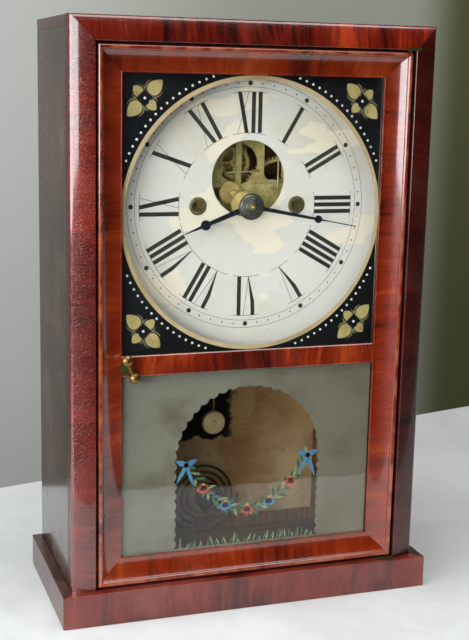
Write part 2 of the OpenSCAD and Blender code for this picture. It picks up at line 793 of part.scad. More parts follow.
module centre_wheel() color("#c29d45") lifted() {
    slab(late_y, wheel_t) wheel(centre_teeth, centre_m, bearing(centre_arbor, third_arbor), 0.5, 4, 5);
    slab(great_y - 1.5, great_t + 3) pinion(centre_leaves, time_great_m, bearing(centre_arbor, time_arbor));
    bar_y(centre_arbor, front_plate_y - 1.6, back_plate_y - front_plate_y + 1.2, arbor_r);
    bar_y(centre_arbor, washer_y - arbor_tip, back_plate_y + plate_t - washer_y + arbor_tip, pivot_r);
}
module third_wheel() color("#c29d45") lifted() {
    slab(third_y, wheel_t) translate(third_arbor)
        wheel(third_teeth, third_m, bearing(third_arbor, escape_arbor), 0.5, 4, 4.5);
    slab(late_y - 1, wheel_t + 2) translate(third_arbor)
        pinion(third_leaves, centre_m, bearing(third_arbor, centre_arbor));
    arbor(third_arbor, 1.1, pivot_r);
}
// Escape wheel with raked pointed teeth
module escape_wheel() color("#c9a24a") lifted() {
    root = escape_r - 2.2;
    slab(escape_y, wheel_t) translate(escape_arbor) difference() {
        polygon([for (i = [0 : escape_teeth - 1], k = [0, 1]) let (a = i * 360 / escape_teeth)
            k == 0 ? root * [cos(a), sin(a)] : escape_r * [cos(a + 7), sin(a + 7)]]);
        difference() {
            circle(root - 1.8);
            circle(3.4);
            for (i = [0 : 3]) rotate(i * 90) translate([0, -0.8]) square([root, 1.6]);
        }
    }
    slab(late_y + 2, wheel_t + 2) translate(escape_arbor)
        pinion(escape_leaves, third_m, bearing(escape_arbor, third_arbor));
    arbor(escape_arbor, 1.05, pivot_r);
}
// Bent strip whose ends reach down to the escape wheel, with the crutch at the back
pallet_r = 16.4;
pallet_w = 1.6;
module verge() color("#7d8288") lifted() {
    slab(escape_y - 0.8, 3) difference() {
        union() {
            translate(verge_arbor) circle(3);
            for (s = [-1, 1]) {
                foot = escape_arbor + pallet_r * [s * sin(48), cos(48)];
                polygon([verge_arbor + [0, 2.4], verge_arbor + [s * 9, -1], foot + [s * 2.2, 0], foot,
                         verge_arbor + [s * 7.6, -2.6], verge_arbor + [0, -0.4]]);
            }
        }
        translate(verge_arbor) circle(0.9);
    }
    bar_y(verge_arbor, front_plate_y + plate_t + 0.4, plate_space + 1.5, 1.1);
    bar_y(verge_arbor, front_plate_y, crutch_y + crutch_t - front_plate_y, 0.95);
    slab(crutch_y, crutch_t) {
        translate(verge_arbor) circle(2.4);
        translate(verge_arbor + [-0.8, -34]) square([1.6, 33]);
    }
    fork_z = verge_arbor[1] - 34;
    slab(crutch_y, crutch_t) translate([-2.4, fork_z - 1.4]) square([4.8, 2]);
    for (s = [-1, 1])
        translate([s > 0 ? rod_r + 0.35 : -rod_r - 0.35 - 1.2, crutch_y, fork_z - 1.4])
            cube([1.2, pendulum_y + 2 - crutch_y, 2]);
}

/* ---------- Pendulum ---------- */

module suspension_cock() color("#b8913a") lifted() translate([0, 0, verge_arbor[1]]) {
    board([-5, back_plate_y + plate_t, 4], [5, pendulum_y + 4, 10]);
    board([-5, cock_gap_y, gap], [5, pendulum_y + 4, 4]);
}
module pendulum_rod() color("#a8843c") placed() {
    translate([-spring_strip_t / 2, pendulum_y - spring_strip_w / 2, verge_z - spring_strip_l])
        cube([spring_strip_t, spring_strip_w, spring_strip_l]);
    difference() {
        translate([0, pendulum_y, bob_z]) cylinder(h = verge_z - spring_strip_l + 3 - bob_z, r = rod_r, $fn = 24);
        bar_y([0, bob_z], pendulum_y - bob_t, 2 * bob_t, bob_r);
    }
}
module pendulum_bob() color("#c8a050") placed() translate([0, pendulum_y + bob_t / 2, bob_z])
    rotate([90, 0, 0]) {
        cylinder(h = bob_t - 1, r = bob_r);
        cylinder(h = bob_t, r = bob_r - 1.2);
        cylinder(h = bob_t + 0.8, r = 2);
    }

/* ---------- Striking train ---------- */

module pin_wheel() color("#c29d45") lifted() {
    slab(late_y, wheel_t) translate(pin_arbor)
        wheel(pin_teeth, pin_m, bearing(pin_arbor, warning_arbor), 0.5, 0, 0);
    for (i = [0 : strike_pins - 1])
        bar_y(pin_arbor + pin_circle_r * [cos(i * 45), sin(i * 45)], late_y - 4, 4.5, 0.7);
    slab(great_y - 1.5, great_t + 3) translate(pin_arbor)
        pinion(pin_leaves, strike_great_m, bearing(pin_arbor, strike_arbor));
    slab(count_y - 0.8, wheel_t + 1.6) translate(pin_arbor)
        pinion(pin_leaves, count_m, bearing(pin_arbor, strike_arbor));
    arbor(pin_arbor, arbor_r, pivot_r);
}
module warning_wheel() color("#c29d45") lifted() {
    slab(warning_y, wheel_t) translate(warning_arbor)
        wheel(warning_teeth, warning_m, bearing(warning_arbor, fly_arbor), 0.5, 4, 4);
    slab(late_y - 1, wheel_t + 2) translate(warning_arbor)
        pinion(warning_leaves, pin_m, bearing(warning_arbor, pin_arbor));
    arbor(warning_arbor, 1.1, pivot_r);
}
module fly() color("#b9953f") lifted() {
    slab(warning_y - 1, wheel_t + 2) translate(fly_arbor)
        pinion(fly_leaves, warning_m, bearing(fly_arbor, warning_arbor));
    arbor(fly_arbor, 1.05, pivot_r);
    translate([fly_arbor[0] - 9, fly_y, fly_arbor[1] - 0.25]) cube([18, 12, 0.5]);
}
// Count wheel: the deep slots round a flange set how many blows are struck
module count_wheel() color("#c9a24a") lifted() translate([strike_arbor[0], 0, strike_arbor[1]]) {
    counts = [for (i = [1 : 12]) i * (i + 1) / 2];
    slab(count_y, wheel_t)
        wheel(count_teeth, count_m, bearing(strike_arbor, pin_arbor), wind_arbor_r + run, 5, 6, 9);
    slab(count_y + wheel_t, 1.2) difference() {
        circle(31);
        circle(28);
        for (c = counts) rotate(c * 360 / count_teeth) translate([27, -1]) square([6, 2]);
    }
}
// Hammer: arbor between the plates, a tail by the pin wheel, and a bent wire down to the gong
hammer_y = back_plate_y - 12;
head_x = gong_x - sqrt(pow(gong_r + gong_wire_r, 2) - pow(hammer_rise, 2)) - gap - hammer_head_l / 2;
module hammer() color("#8a8d90") {
    at = [hammer_arbor[0], hammer_arbor[1] + hands_z];
    top = [at[0], hammer_y, at[1]];
    knee = [at[0] + 2, hammer_y, at[1] - 34];
    ankle = [head_x, gong_y, gong_z + hammer_rise + 34];
    head = [head_x, gong_y, gong_z + hammer_rise];
    placed() {
        rod(top, knee, hammer_wire_r);
        translate(knee) sphere(1.2 * hammer_wire_r, $fn = 24);
        rod(knee, ankle, hammer_wire_r);
        translate(ankle) sphere(1.2 * hammer_wire_r, $fn = 24);
        rod(ankle, head, hammer_wire_r);
        translate(head - [hammer_head_l / 2, 0, 0]) rotate([0, 90, 0])
            cylinder(h = hammer_head_l, r = hammer_head_r);
    }
    lifted() {
        arbor(hammer_arbor, hammer_arbor_r, pivot_r);
        slab(late_y - 3.4, 2) translate(hammer_arbor - [0, hammer_tail[1] / 2]) square(hammer_tail);
    }
}

/* ---------- Gong ---------- */

// Cast stand: a round foot on the back board, a post, and the block that holds the coil's inner end
// The block grows and shrinks with the coil's pitch, so that it stays clear of the next turn
gong_block_in = 4.5;
gong_tail = 3;
gong_block = [gong_block_in + 0.3 * gong_pitch, 5, 0.7 * gong_pitch];
gong_block_at = [gong_inner_r - gong_block_in, -gong_tail - gong_block[2]];
gong_foot_t = 3;
module gong_stand() color("#2c2c2e") placed() translate([gong_x, 0, gong_z]) {
    post = gong_block_at + [gong_block[0] / 2, gong_block[2] / 2];
    bar_y(post, back_face - label_t - gong_foot_t, gong_foot_t, 13);
    bar_y(post, gong_y + gong_block[1] / 2, back_face - label_t - gong_y - gong_block[1] / 2, 3);
    translate([gong_block_at[0], gong_y - gong_block[1] / 2, gong_block_at[1]]) cube(gong_block);
}

// Flat spiral of round wire, swept ring by ring, its inner end straight into the block
function spiral_r(t) = gong_inner_r + (gong_r - gong_inner_r) * t;
gong_path = concat(
    [[gong_inner_r, -gong_tail, 0, 0], [gong_inner_r, -gong_wire_r, 0, 0]],
    [for (i = [0 : gong_turns * gong_steps]) let (t = i / (gong_turns * gong_steps), a = t * gong_turns * 360)
        [spiral_r(t) * cos(a), spiral_r(t) * sin(a), a, 1]]
);
function ring_of(p) = [for (k = [0 : gong_sides - 1]) let (b = k * 360 / gong_sides + 30)
    [p[0] + gong_wire_r * cos(b) * cos(p[2]), gong_wire_r * sin(b), p[1] + gong_wire_r * cos(b) * sin(p[2])]];
module gong_coil() color("#3f444b") placed() translate([gong_x, gong_y, gong_z]) {
    rings = len(gong_path);
    points = [for (p = gong_path) each ring_of(p)];
    sides = [for (i = [0 : rings - 2], k = [0 : gong_sides - 1]) let (a = i * gong_sides,
        n = (k + 1) % gong_sides)
        each [[a + k, a + gong_sides + k, a + gong_sides + n], [a + k, a + gong_sides + n, a + n]]];
    caps = [for (k = [1 : gong_sides - 2])
        each [[0, k, k + 1], [(rings - 1) * gong_sides, (rings - 1) * gong_sides + k + 1,
              (rings - 1) * gong_sides + k]]];
    polyhedron(points, concat(sides, caps));
}
gong_gap = gong_pitch - 2 * gong_wire_r;
echo("least gap between turns of the gong", gong_gap);

base_front();
base_sides();
bottom_board();
top_board();
side_left();
side_right();
back_board();
moulding_left();
moulding_right();
moulding_top();
door_stops();
label();
dial();
dial_blocks();
dial_pins();
case_hinges();
stile_left();
stile_right();
rail_top();
rail_bottom();
rail_middle();
upper_glass();
lower_glass();
glazing_strips();
door_hinges();
latch_plate();
latch_knob();
latch_tongue();
minute_hand();
hand_washer();
cannon_pinion();
hour_hand();
hour_wheel();
minute_wheel();
front_plate();
back_plate();
pillars();
pillar_nuts();
movement_posts();
movement_screws();
time_great_wheel();
time_winding_arbor();
time_mainspring();
centre_wheel();
third_wheel();
escape_wheel();
verge();
suspension_cock();
pendulum_rod();
pendulum_bob();
strike_great_wheel();
strike_winding_arbor();
strike_mainspring();
pin_wheel();
warning_wheel();
fly();
count_wheel();
hammer();
gong_stand();
gong_coil();
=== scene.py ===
import json
import math
import random

import bmesh
import bpy
from mathutils import Matrix, Vector

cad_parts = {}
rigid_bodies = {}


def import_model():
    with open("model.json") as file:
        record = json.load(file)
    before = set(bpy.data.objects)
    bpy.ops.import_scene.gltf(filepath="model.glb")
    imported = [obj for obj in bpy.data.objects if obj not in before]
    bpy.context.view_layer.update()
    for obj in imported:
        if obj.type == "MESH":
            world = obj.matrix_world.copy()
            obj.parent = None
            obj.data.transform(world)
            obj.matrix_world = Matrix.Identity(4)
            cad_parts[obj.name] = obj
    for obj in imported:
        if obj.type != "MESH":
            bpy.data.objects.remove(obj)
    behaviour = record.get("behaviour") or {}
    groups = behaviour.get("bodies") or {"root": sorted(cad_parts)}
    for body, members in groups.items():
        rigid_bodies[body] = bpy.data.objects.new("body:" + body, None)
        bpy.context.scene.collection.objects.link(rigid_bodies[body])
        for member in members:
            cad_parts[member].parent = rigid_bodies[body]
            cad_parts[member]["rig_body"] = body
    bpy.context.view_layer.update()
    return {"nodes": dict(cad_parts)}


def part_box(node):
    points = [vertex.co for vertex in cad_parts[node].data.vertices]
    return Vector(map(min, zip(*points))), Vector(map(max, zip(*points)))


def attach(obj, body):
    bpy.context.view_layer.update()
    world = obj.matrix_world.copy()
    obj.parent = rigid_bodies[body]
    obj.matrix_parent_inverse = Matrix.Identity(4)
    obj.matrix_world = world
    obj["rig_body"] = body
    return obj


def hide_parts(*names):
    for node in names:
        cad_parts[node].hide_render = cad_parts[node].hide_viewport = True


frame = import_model()
scene = bpy.context.scene
MM = 0.001


# ---------------------------------------------------------------- Plinth
# A mahogany board stands across the front of the foot, with a strip down each side mitred
# to it. Their veneer is laid with the grain across, so its stripes stand upright.

def rgb(code):
    """A colour written as the eye sees it, as linear numbers for the shader."""
    parts = [int(code[i:i + 2], 16) / 255 for i in (1, 3, 5)]
    return [p / 12.92 if p <= 0.04045 else ((p + 0.055) / 1.055) ** 2.4 for p in parts] + [1]


def fill(socket, value):
    """Links a socket's value into another socket, or sets a number or a colour there."""
    if isinstance(value, bpy.types.NodeSocket):
        socket.id_data.links.new(value, socket)
    else:
        socket.default_value = rgb(value) if isinstance(value, str) else value


def put(tree, kind, *values, **named):
    """Adds a node and returns its first output. Names with a capital are sockets, the rest are settings."""
    made = tree.nodes.new("ShaderNode" + kind)
    for name, value in named.items():
        if name[0].islower():
            setattr(made, name, value)
    for socket, value in zip(made.inputs, values):
        fill(socket, value)
    for name, value in named.items():
        if name[0].isupper():
            fill(made.inputs[name.replace("_", " ")], value)
    return made.outputs[0]


def mixed(share, first, second):
    made = share.id_data.nodes.new("ShaderNodeMix")
    made.data_type = "RGBA"
    for place, value in ((0, share), (6, first), (7, second)):
        fill(made.inputs[place], value)
    return made.outputs[2]


def between(value, low, high, start=0.0, end=1.0):
    """Rises smoothly from start to end as the value goes from low to high."""
    return put(value.id_data, "MapRange", value, low, high, start, end, interpolation_type="SMOOTHSTEP")


def plus(first, second):
    return put(first.id_data, "Math", first, second)


def times(first, second):
    return put(first.id_data, "Math", first, second, operation="MULTIPLY")


def less(first, second):
    return put(first.id_data, "Math", first, second, operation="SUBTRACT")


def stretched(vector, scale):
    return put(vector.id_data, "Mapping", Vector=vector, Scale=scale)


def cloud(vector, scale, detail=2.0, roughness=0.5, distortion=0.0):
    """Noise. A scale of three numbers draws it out along one axis or another."""
    if isinstance(scale, tuple):
        vector = stretched(vector, scale)
        scale = 1
    return put(vector.id_data, "TexNoise", Vector=vector, Scale=scale, Detail=detail, Roughness=roughness,
               Distortion=distortion)


def shaken(vector, noise, amount):
    """A vector pushed to and fro by the colours of a noise."""
    tree = vector.id_data
    push = put(tree, "VectorMath", noise.node.outputs["Color"], amount, operation="MULTIPLY")
    return put(tree, "VectorMath", vector, push)


def axes(vector):
    """The X, Y and Z of a vector."""
    return put(vector.id_data, "SeparateXYZ", vector).node.outputs


def coordinates(tree, kind="Object"):
    return put(tree, "TexCoord").node.outputs[kind]


def start_group(name, colours, numbers, colours_out, numbers_out):
    """A node group that takes a vector first. The names of its other sockets come as strings."""
    group = bpy.data.node_groups.new(name, "ShaderNodeTree")
    for way, kind, names in (("INPUT", "Vector", "Vector"), ("INPUT", "Color", colours),
                             ("INPUT", "Float", numbers), ("OUTPUT", "Color", colours_out),
                             ("OUTPUT", "Float", numbers_out)):
        for socket in names.split():
            group.interface.new_socket(name=socket, in_out=way, socket_type="NodeSocket" + kind)
    given = group.nodes.new("NodeGroupInput").outputs
    wanted = group.nodes.new("NodeGroupOutput").inputs
    return group, given["Vector"], given, wanted


def place_group(group, *values):
    """Adds a group where its vector comes from and fills its sockets in their order."""
    made = values[0].id_data.nodes.new("ShaderNodeGroup")
    made.node_tree = group
    for socket, value in zip(made.inputs, values):
        fill(socket, value)
    return made.outputs


# Veneer figure. Its vector runs along the member first, then across it, in metres
veneer, where, given, wanted = start_group("veneer figure", "Dark Middle Light", "Figure", "Color", "Height")
warp = cloud(where, (18, 30, 30))
bent = put(veneer, "VectorMath", where, put(veneer, "CombineXYZ", times(warp, 0.012)))
streaks = cloud(bent, (620, 34, 34), 5, 0.62)
flames = cloud(bent, (85, 14, 14), 3, 0.55, 0.6)
drift = cloud(where, 13)
pores = between(cloud(bent, (2100, 170, 170)), 0.6, 0.72)
figure = plus(times(streaks, 0.42), times(flames, 0.58))
lift = times(less(figure, 0.5), given["Figure"])
tone = plus(plus(lift, 0.5), times(less(drift, 0.5), 0.7))
low_tone = mixed(between(tone, 0.26, 0.52), given["Dark"], given["Middle"])
full_tone = mixed(between(tone, 0.5, 0.78), low_tone, given["Light"])
fill(wanted["Color"], mixed(times(pores, 0.45), full_tone, given["Dark"]))
fill(wanted["Height"], less(streaks, times(pores, 0.8)))

# Old polish: fine crazing, a little haze, and dust that dulls it in patches
old_polish, where, given, wanted = start_group("old polish", "", "Crazing Haze", "", "Height Roughness Dust")
pushed = shaken(where, cloud(where, 160), (0.0025, 0.0025, 0.0025))
cracks = put(old_polish, "TexVoronoi", Vector=stretched(pushed, (620, 300, 300)), Scale=1.0,
             feature="DISTANCE_TO_EDGE")
crackle = times(between(cracks, 0.0, 0.16), given["Crazing"])
ripple = times(cloud(where, 95), 1.6)
patches = between(cloud(where, 26, 4, 0.6), 0.42, 0.7)
fill(wanted["Height"], plus(crackle, ripple))
fill(wanted["Roughness"], plus(times(patches, 0.12), given["Haze"]))
fill(wanted["Dust"], patches)


def new_material(name, **settings):
    """A Principled material with constants set on the shader's own sockets."""
    material = bpy.data.materials.new(name)
    material.use_nodes = True
    tree = material.node_tree
    shader = tree.nodes["Principled BSDF"]
    for socket, value in settings.items():
        fill(shader.inputs[socket.replace("_", " ")], value)
    return material, tree, shader


def object_space(tree, order="XYZ", shift=0.0):
    """Object coordinates with their axes in another order, so that a pattern runs another way."""
    apart = axes(coordinates(tree))
    ordered = put(tree, "CombineXYZ", *[apart["XYZ".index(axis)] for axis in order])
    return put(tree, "VectorMath", ordered, (shift, shift * 0.7, shift * 0.3))


def surface(shader, colour, height, distance, strength=1.0):
    """Gives the shader its colour, and its normal from a height."""
    fill(shader.inputs["Base Color"], colour)
    bump = put(shader.id_data, "Bump", Strength=strength, Distance=distance, Height=height)
    fill(shader.inputs["Normal"], bump)


def mahogany(name, order, dark, middle, light, figure, crazing, haze, shift, dust, dusty,
             veneer_back=None, crest=None, coat=1.0):
    """Polished veneer. The order's first axis runs along the member, across the grain.

    Behind veneer_back, a place on the Y axis, the member's core shows, as dark as the case.
    At crest, another such place, paler wood is painted along the bead's crest: a painted highlight, broken
    into patches like rubbed polish.
    """
    material, tree, shader = new_material(name, Coat_Weight=coat, Coat_Roughness=0.09, Coat_IOR=1.7)
    depth = axes(coordinates(tree))[1]
    vector = object_space(tree, order, shift)
    wood = place_group(veneer, vector, dark, middle, light, figure)
    finish = place_group(old_polish, vector, crazing, haze)
    shown = mixed(times(finish["Dust"], dusty), wood["Color"], dust)
    if veneer_back is not None:
        core = between(depth, veneer_back - 0.8 * MM, veneer_back + 0.8 * MM)
        shown = mixed(core, shown, mixed(finish["Dust"], "#3a1512", "#4c221c"))
        fill(shader.inputs["Coat Weight"], between(core, 0, 1, coat, 0.15))
    if crest is not None:
        # Painted highlight: a paler band along the bead's crest, in patches.
        patchy = between(cloud(vector, 75, 3), 0.38, 0.62)
        painted_crest_highlight = times(between(depth, crest, crest + 0.6 * MM, 0.8, 0.0), patchy)
        shown = mixed(painted_crest_highlight, shown, "#c46f45")
    fill(shader.inputs["Roughness"], finish["Roughness"])
    height = plus(times(wood["Height"], 0.35), finish["Height"])
    surface(shader, shown, height, 0.06 * MM)
    return material


def sharp_edges(mesh, angle):
    return [e for e in mesh.edges if e.is_manifold and e.calc_face_angle(0) > math.radians(angle)]


def ease(mesh, edges, width):
    """Bevels edges, as a maker's plane or file would ease them."""
    bmesh.ops.bevel(mesh, geom=edges, offset=width, offset_type="OFFSET", segments=2, affect="EDGES",
                    profile=0.5, material=-1, clamp_overlap=True)


def as_object(name, mesh, material):
    """Turns a finished bmesh into an object of the scene."""
    data = bpy.data.meshes.new(name)
    mesh.to_mesh(data)
    mesh.free()
    data.materials.append(material)
    made = bpy.data.objects.new(name, data)
    scene.collection.objects.link(made)
    return made


def make_piece(name, mesh, material, body, stands_for=(), smooth=35):
    """Turns a finished bmesh into a piece that rides on a body."""
    piece = as_object(name, mesh, material)
    piece.data.shade_smooth()
    piece.data.set_sharp_from_angle(angle=math.radians(smooth))
    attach(piece, body)
    if stands_for:
        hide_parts(*stands_for)
        even = piece.modifiers.new("even shading", "WEIGHTED_NORMAL")
        even.keep_sharp = True


def eased_copy(node, material, width, sharp=30):
    """A merged copy of a CAD piece with its sharp edges eased, which then stands for it."""
    mesh = bmesh.new()
    mesh.from_mesh(frame["nodes"][node].data)
    bmesh.ops.remove_doubles(mesh, verts=mesh.verts, dist=1e-6)
    bmesh.ops.dissolve_limit(mesh, angle_limit=math.radians(0.5), verts=mesh.verts, edges=mesh.edges)
    ease(mesh, sharp_edges(mesh, sharp), width)
    body = frame["nodes"][node]["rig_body"]
    make_piece(node + "_eased", mesh, material, body, (node,))


plinth_front = mahogany("plinth front", "XZY", "#3c120d", "#7c2a1f", "#9e4532", 0.9, 0.3, 0.3, 0.31,
                        "#9a665c", 0.22, coat=0.5)
plinth_side = mahogany("plinth side", "YZX", "#24100c", "#47211b", "#6a3a30", 0.7, 0.3, 0.26, 0.11,
                       "#8c8480", 0.12, coat=0.22)
eased_copy("base_front", plinth_front, 0.7 * MM)
eased_copy("base_sides", plinth_side, 0.7 * MM)


# ---------------------------------------------------------------- Case boards
# Sides and top are thin boards with a dark polish outside. The bottom and the back are
# plain pine, planed by hand, which has browned with age.

pine_grain, where, given, wanted = start_group("pine grain", "Pale Ring Grime", "Soil", "Color", "Height")
sway = cloud(where, (3, 14, 14), 3)
bent = shaken(where, sway, (0.0, 0.05, 0.05))
rings = put(pine_grain, "TexWave", Vector=stretched(bent, (1.2, 42, 30)), Scale=1.0, Distortion=3.5,
            Detail=3.0, Detail_Scale=1.2, bands_direction="Y", wave_profile="SAW")
fibre = cloud(where, (40, 1400, 1400), 3)
soil = between(cloud(where, 9, 5, 0.62), 0.38, 0.72)
fresh = mixed(times(rings, 0.75), given["Pale"], given["Ring"])
fibred = mixed(times(fibre, 0.35), fresh, given["Ring"])
fill(wanted["Color"], mixed(times(soil, given["Soil"]), fibred, given["Grime"]))
fill(wanted["Height"], plus(fibre, rings))


def pine(name, order, pale, ring, grime, soil, shift, roughness=0.72):
    """Bare or stained softwood. The order's first axis is the way its grain runs."""
    material, tree, shader = new_material(name, Specular_IOR_Level=0.3)
    grown = place_group(pine_grain, object_space(tree, order, shift), pale, ring, grime, soil)
    uneven = between(grown["Height"], 0.2, 1.6, roughness - 0.1, roughness + 0.1)
    fill(shader.inputs["Roughness"], uneven)
    surface(shader, grown["Color"], grown["Height"], 0.12 * MM)
    return material


case_side = mahogany("case side", "YZX", "#1d130f", "#3d2a22", "#5d4436", 0.8, 0.25, 0.2, 0.52,
                     "#7c7670", 0.14, coat=0.52)
case_top = mahogany("case top", "YXZ", "#1c100c", "#3b221a", "#5b3628", 0.8, 0.25, 0.26, 0.47,
                    "#857b74", 0.16, coat=0.7)
bare_pine = pine("bare pine", "ZXY", "#a37a4c", "#7a522c", "#3c2a1c", 0.75, 0.2)
floor_pine = pine("floor pine", "XYZ", "#94703f", "#6b4726", "#35271b", 0.8, 0.6)
for board in ("side_left", "side_right"):
    eased_copy(board, case_side, 0.6 * MM)
eased_copy("top_board", case_top, 0.6 * MM)
eased_copy("back_board", bare_pine, 0.3 * MM, sharp=60)
eased_copy("bottom_board", floor_pine, 0.4 * MM)


# ---------------------------------------------------------------- Ogee moulding
# Three lengths of softwood run to a broad roll, veneered across the grain, mitred at the top corners and
# standing on the plinth. With the door's cove they make the ogee. The right-hand length gets a darker copy of
# the side veneer with less coat: painted shade for the side turned from the light.

def arc(centre, radius, start, end, steps):
    """Points round an arc, its angles in degrees."""
    turns = [math.radians(start + (end - start) * i / steps) for i in range(steps + 1)]
    return [(centre[0] + radius * math.cos(t), centre[1] + radius * math.sin(t)) for t in turns]


def outline_face(mesh, points):
    """A face whose edge runs through the points in their order, whether or not it is convex."""
    corners = [mesh.verts.new(point) for point in points]
    rim = [mesh.edges.new((corners[i - 1], corners[i])) for i in range(len(corners))]
    return bmesh.ops.contextual_create(mesh, geom=rim)["faces"]


def thicken(mesh, faces, way):
    """Draws faces out along a vector into a solid."""
    grown = bmesh.ops.extrude_face_region(mesh, geom=faces)["geom"]
    bmesh.ops.translate(mesh, vec=way, verts=[v for v in grown if isinstance(v, bmesh.types.BMVert)])


def length_of(outline, run, mitres, edge=0.3):
    """A length of moulding standing on end: its outline in millimetres, cut off square or in a mitre."""
    mesh = bmesh.new()
    outline_face(mesh, [(u * MM, y * MM, 0) for u, y in outline])
    thicken(mesh, list(mesh.faces), (0, 0, run))
    for height, normal, cut in ((0, (1, 0, -1), mitres[0]), (run, (1, 0, 1), mitres[1])):
        if cut:
            parts = list(mesh.verts) + list(mesh.edges) + list(mesh.faces)
            sliced = bmesh.ops.bisect_plane(mesh, geom=parts, plane_co=(0, 0, height), plane_no=normal,
                                            clear_outer=True)
            rim = [e for e in sliced["geom_cut"] if isinstance(e, bmesh.types.BMEdge)]
            bmesh.ops.contextual_create(mesh, geom=rim)
    bmesh.ops.remove_doubles(mesh, verts=mesh.verts, dist=1e-6)
    bmesh.ops.recalc_face_normals(mesh, faces=mesh.faces)
    arrises = [e for e in sharp_edges(mesh, 35) if abs(e.verts[0].co.z - e.verts[1].co.z) > run / 2]
    ease(mesh, arrises, edge * MM)
    return mesh


def stand(mesh, x, y, z):
    bmesh.ops.transform(mesh, matrix=Matrix.Translation((x, y, z)), verts=mesh.verts)


def swung(mesh, turn, axis="Y"):
    """Turns a mesh about an axis through the origin."""
    bmesh.ops.rotate(mesh, cent=(0, 0, 0), matrix=Matrix.Rotation(turn, 3, axis), verts=mesh.verts)
    return mesh


def mirrored(mesh, axis):
    bmesh.ops.scale(mesh, vec=[-1 if i == axis else 1 for i in range(3)], verts=mesh.verts)
    bmesh.ops.recalc_face_normals(mesh, faces=mesh.faces)


def laid(mesh):
    """Turns a standing length to lie along X, its outer edge upwards."""
    swung(mesh, math.radians(90))


left_low, left_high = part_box("moulding_left")
top_low, top_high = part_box("moulding_top")
case_front = left_low.y
moulding_w = (left_high.x - left_low.x) / MM
moulding_t = (left_high.y - left_low.y) / MM
roll_r = 4.0
crown_slope = 22
inner_edge = 0.9
crown_r = roll_r + (moulding_w - roll_r) / math.sin(math.radians(crown_slope))
roll_y = crown_r - (crown_r - roll_r) * math.cos(math.radians(crown_slope))
edge_slope = math.degrees(math.asin(inner_edge / (crown_r - inner_edge)))
edge_y = crown_r - (crown_r - inner_edge) * math.cos(math.radians(edge_slope))
roll = (arc((roll_r, roll_y), roll_r, 180, 270 - crown_slope, 14)
        + arc((moulding_w, crown_r), crown_r, 270 - crown_slope, 270 - edge_slope, 16)[1:]
        + arc((moulding_w - inner_edge, edge_y), inner_edge, 270 - edge_slope, 360, 6)[1:]
        + [(moulding_w, moulding_t), (0, moulding_t)])

veneer_back = case_front + roll_y * MM
ogee_side = mahogany("ogee side", "ZXY", "#2e0b08", "#661a11", "#963020", 0.8, 2.2, 0.2, 0.13,
                     "#7a4a44", 0.1, veneer_back)
ogee_top = mahogany("ogee top", "XZY", "#2c0906", "#741c0e", "#bf4019", 1.3, 0.6, 0.2, 0.83,
                    "#74443c", 0.06, veneer_back)
# Painted shade: a darker copy of the side veneer for the right-hand length, which faces away from the window.
ogee_shade = mahogany("ogee right side", "ZXY", "#1f0906", "#45130c", "#6a2316", 0.8, 1.0, 0.26, 0.37,
                      "#5c3a34", 0.08, veneer_back, coat=0.4)
for side, veneered in (("left", ogee_side), ("right", ogee_shade)):
    upright = length_of(roll, left_high.z - left_low.z, (False, True))
    stand(upright, left_low.x, case_front, left_low.z)
    if side == "right":
        mirrored(upright, 0)
    make_piece("ogee_" + side, upright, veneered, "case", ("moulding_" + side,))
across = length_of(roll, top_high.x - top_low.x, (True, True))
laid(across)
stand(across, top_low.x, case_front, top_high.z)
make_piece("ogee_top", across, ogee_top, "case", ("moulding_top",))


# ---------------------------------------------------------------- Inside the case
# Strips of stained pine stop the door. A plain paper label, brown with age, is pasted on the back, its lower
# part painted paler as light and its upper left painted near black as shade, and the gong stands on it: a
# coil of steel wire held by a cast iron stand.

stop_pine = pine("stained pine", "ZXY", "#5b3320", "#3f2216", "#1f1511", 0.6, 0.9, 0.6)
for node in ("door_stops", "glazing_strips"):
    eased_copy(node, stop_pine, 0.3 * MM)

label_low, label_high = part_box("label")
paper, tree, shader = new_material("old label paper", Roughness=0.85, Specular_IOR_Level=0.2)
vector = object_space(tree)
blotch = between(cloud(vector, 17, 5, 0.6, 0.4), 0.36, 0.68)
foxing = between(cloud(vector, 95, 3), 0.62, 0.76)
places = axes(vector)
# Painted light: the lower part of the label is paler, where light through the tablet falls.
painted_light_below = between(places[2], 0.13, 0.07)
aged = mixed(painted_light_below, mixed(blotch, "#b89763", "#855c33"), mixed(blotch, "#d8bf90", "#a98254"))
foxed = mixed(times(foxing, 0.6), aged, "#6f4422")
# Painted shade: the upper left of the label turns near black, with a ragged edge.
ragged = times(cloud(vector, 48, 5, 0.6), 0.03)
upper_part = between(plus(places[2], ragged), 0.117, 0.12)
left_part = between(plus(places[0], ragged), 0.042, 0.036)
painted_shade_patch = mixed(times(upper_part, left_part), foxed, "#1d1914")
surface(shader, painted_shade_patch, cloud(vector, 420, 4), 0.08 * MM)

sheet = bmesh.new()
bmesh.ops.create_cube(sheet, size=1)
bmesh.ops.scale(sheet, vec=label_high - label_low, verts=sheet.verts)
label_mid = (label_low + label_high) / 2
stand(sheet, *label_mid)
bmesh.ops.subdivide_edges(sheet, edges=sheet.edges, cuts=30, use_grid_fill=True)
random.seed(7)
tear = 1.1 * MM
for corner in sheet.verts:
    from_mid = corner.co - label_mid
    if abs(from_mid.x) > label_high.x - label_mid.x - MM or abs(from_mid.z) > label_high.z - label_mid.z - MM:
        corner.co.x -= math.copysign(random.uniform(0, tear), from_mid.x)
        corner.co.z -= math.copysign(random.uniform(0, tear), from_mid.z)
make_piece("label_sheet", sheet, paper, "case", ("label",))

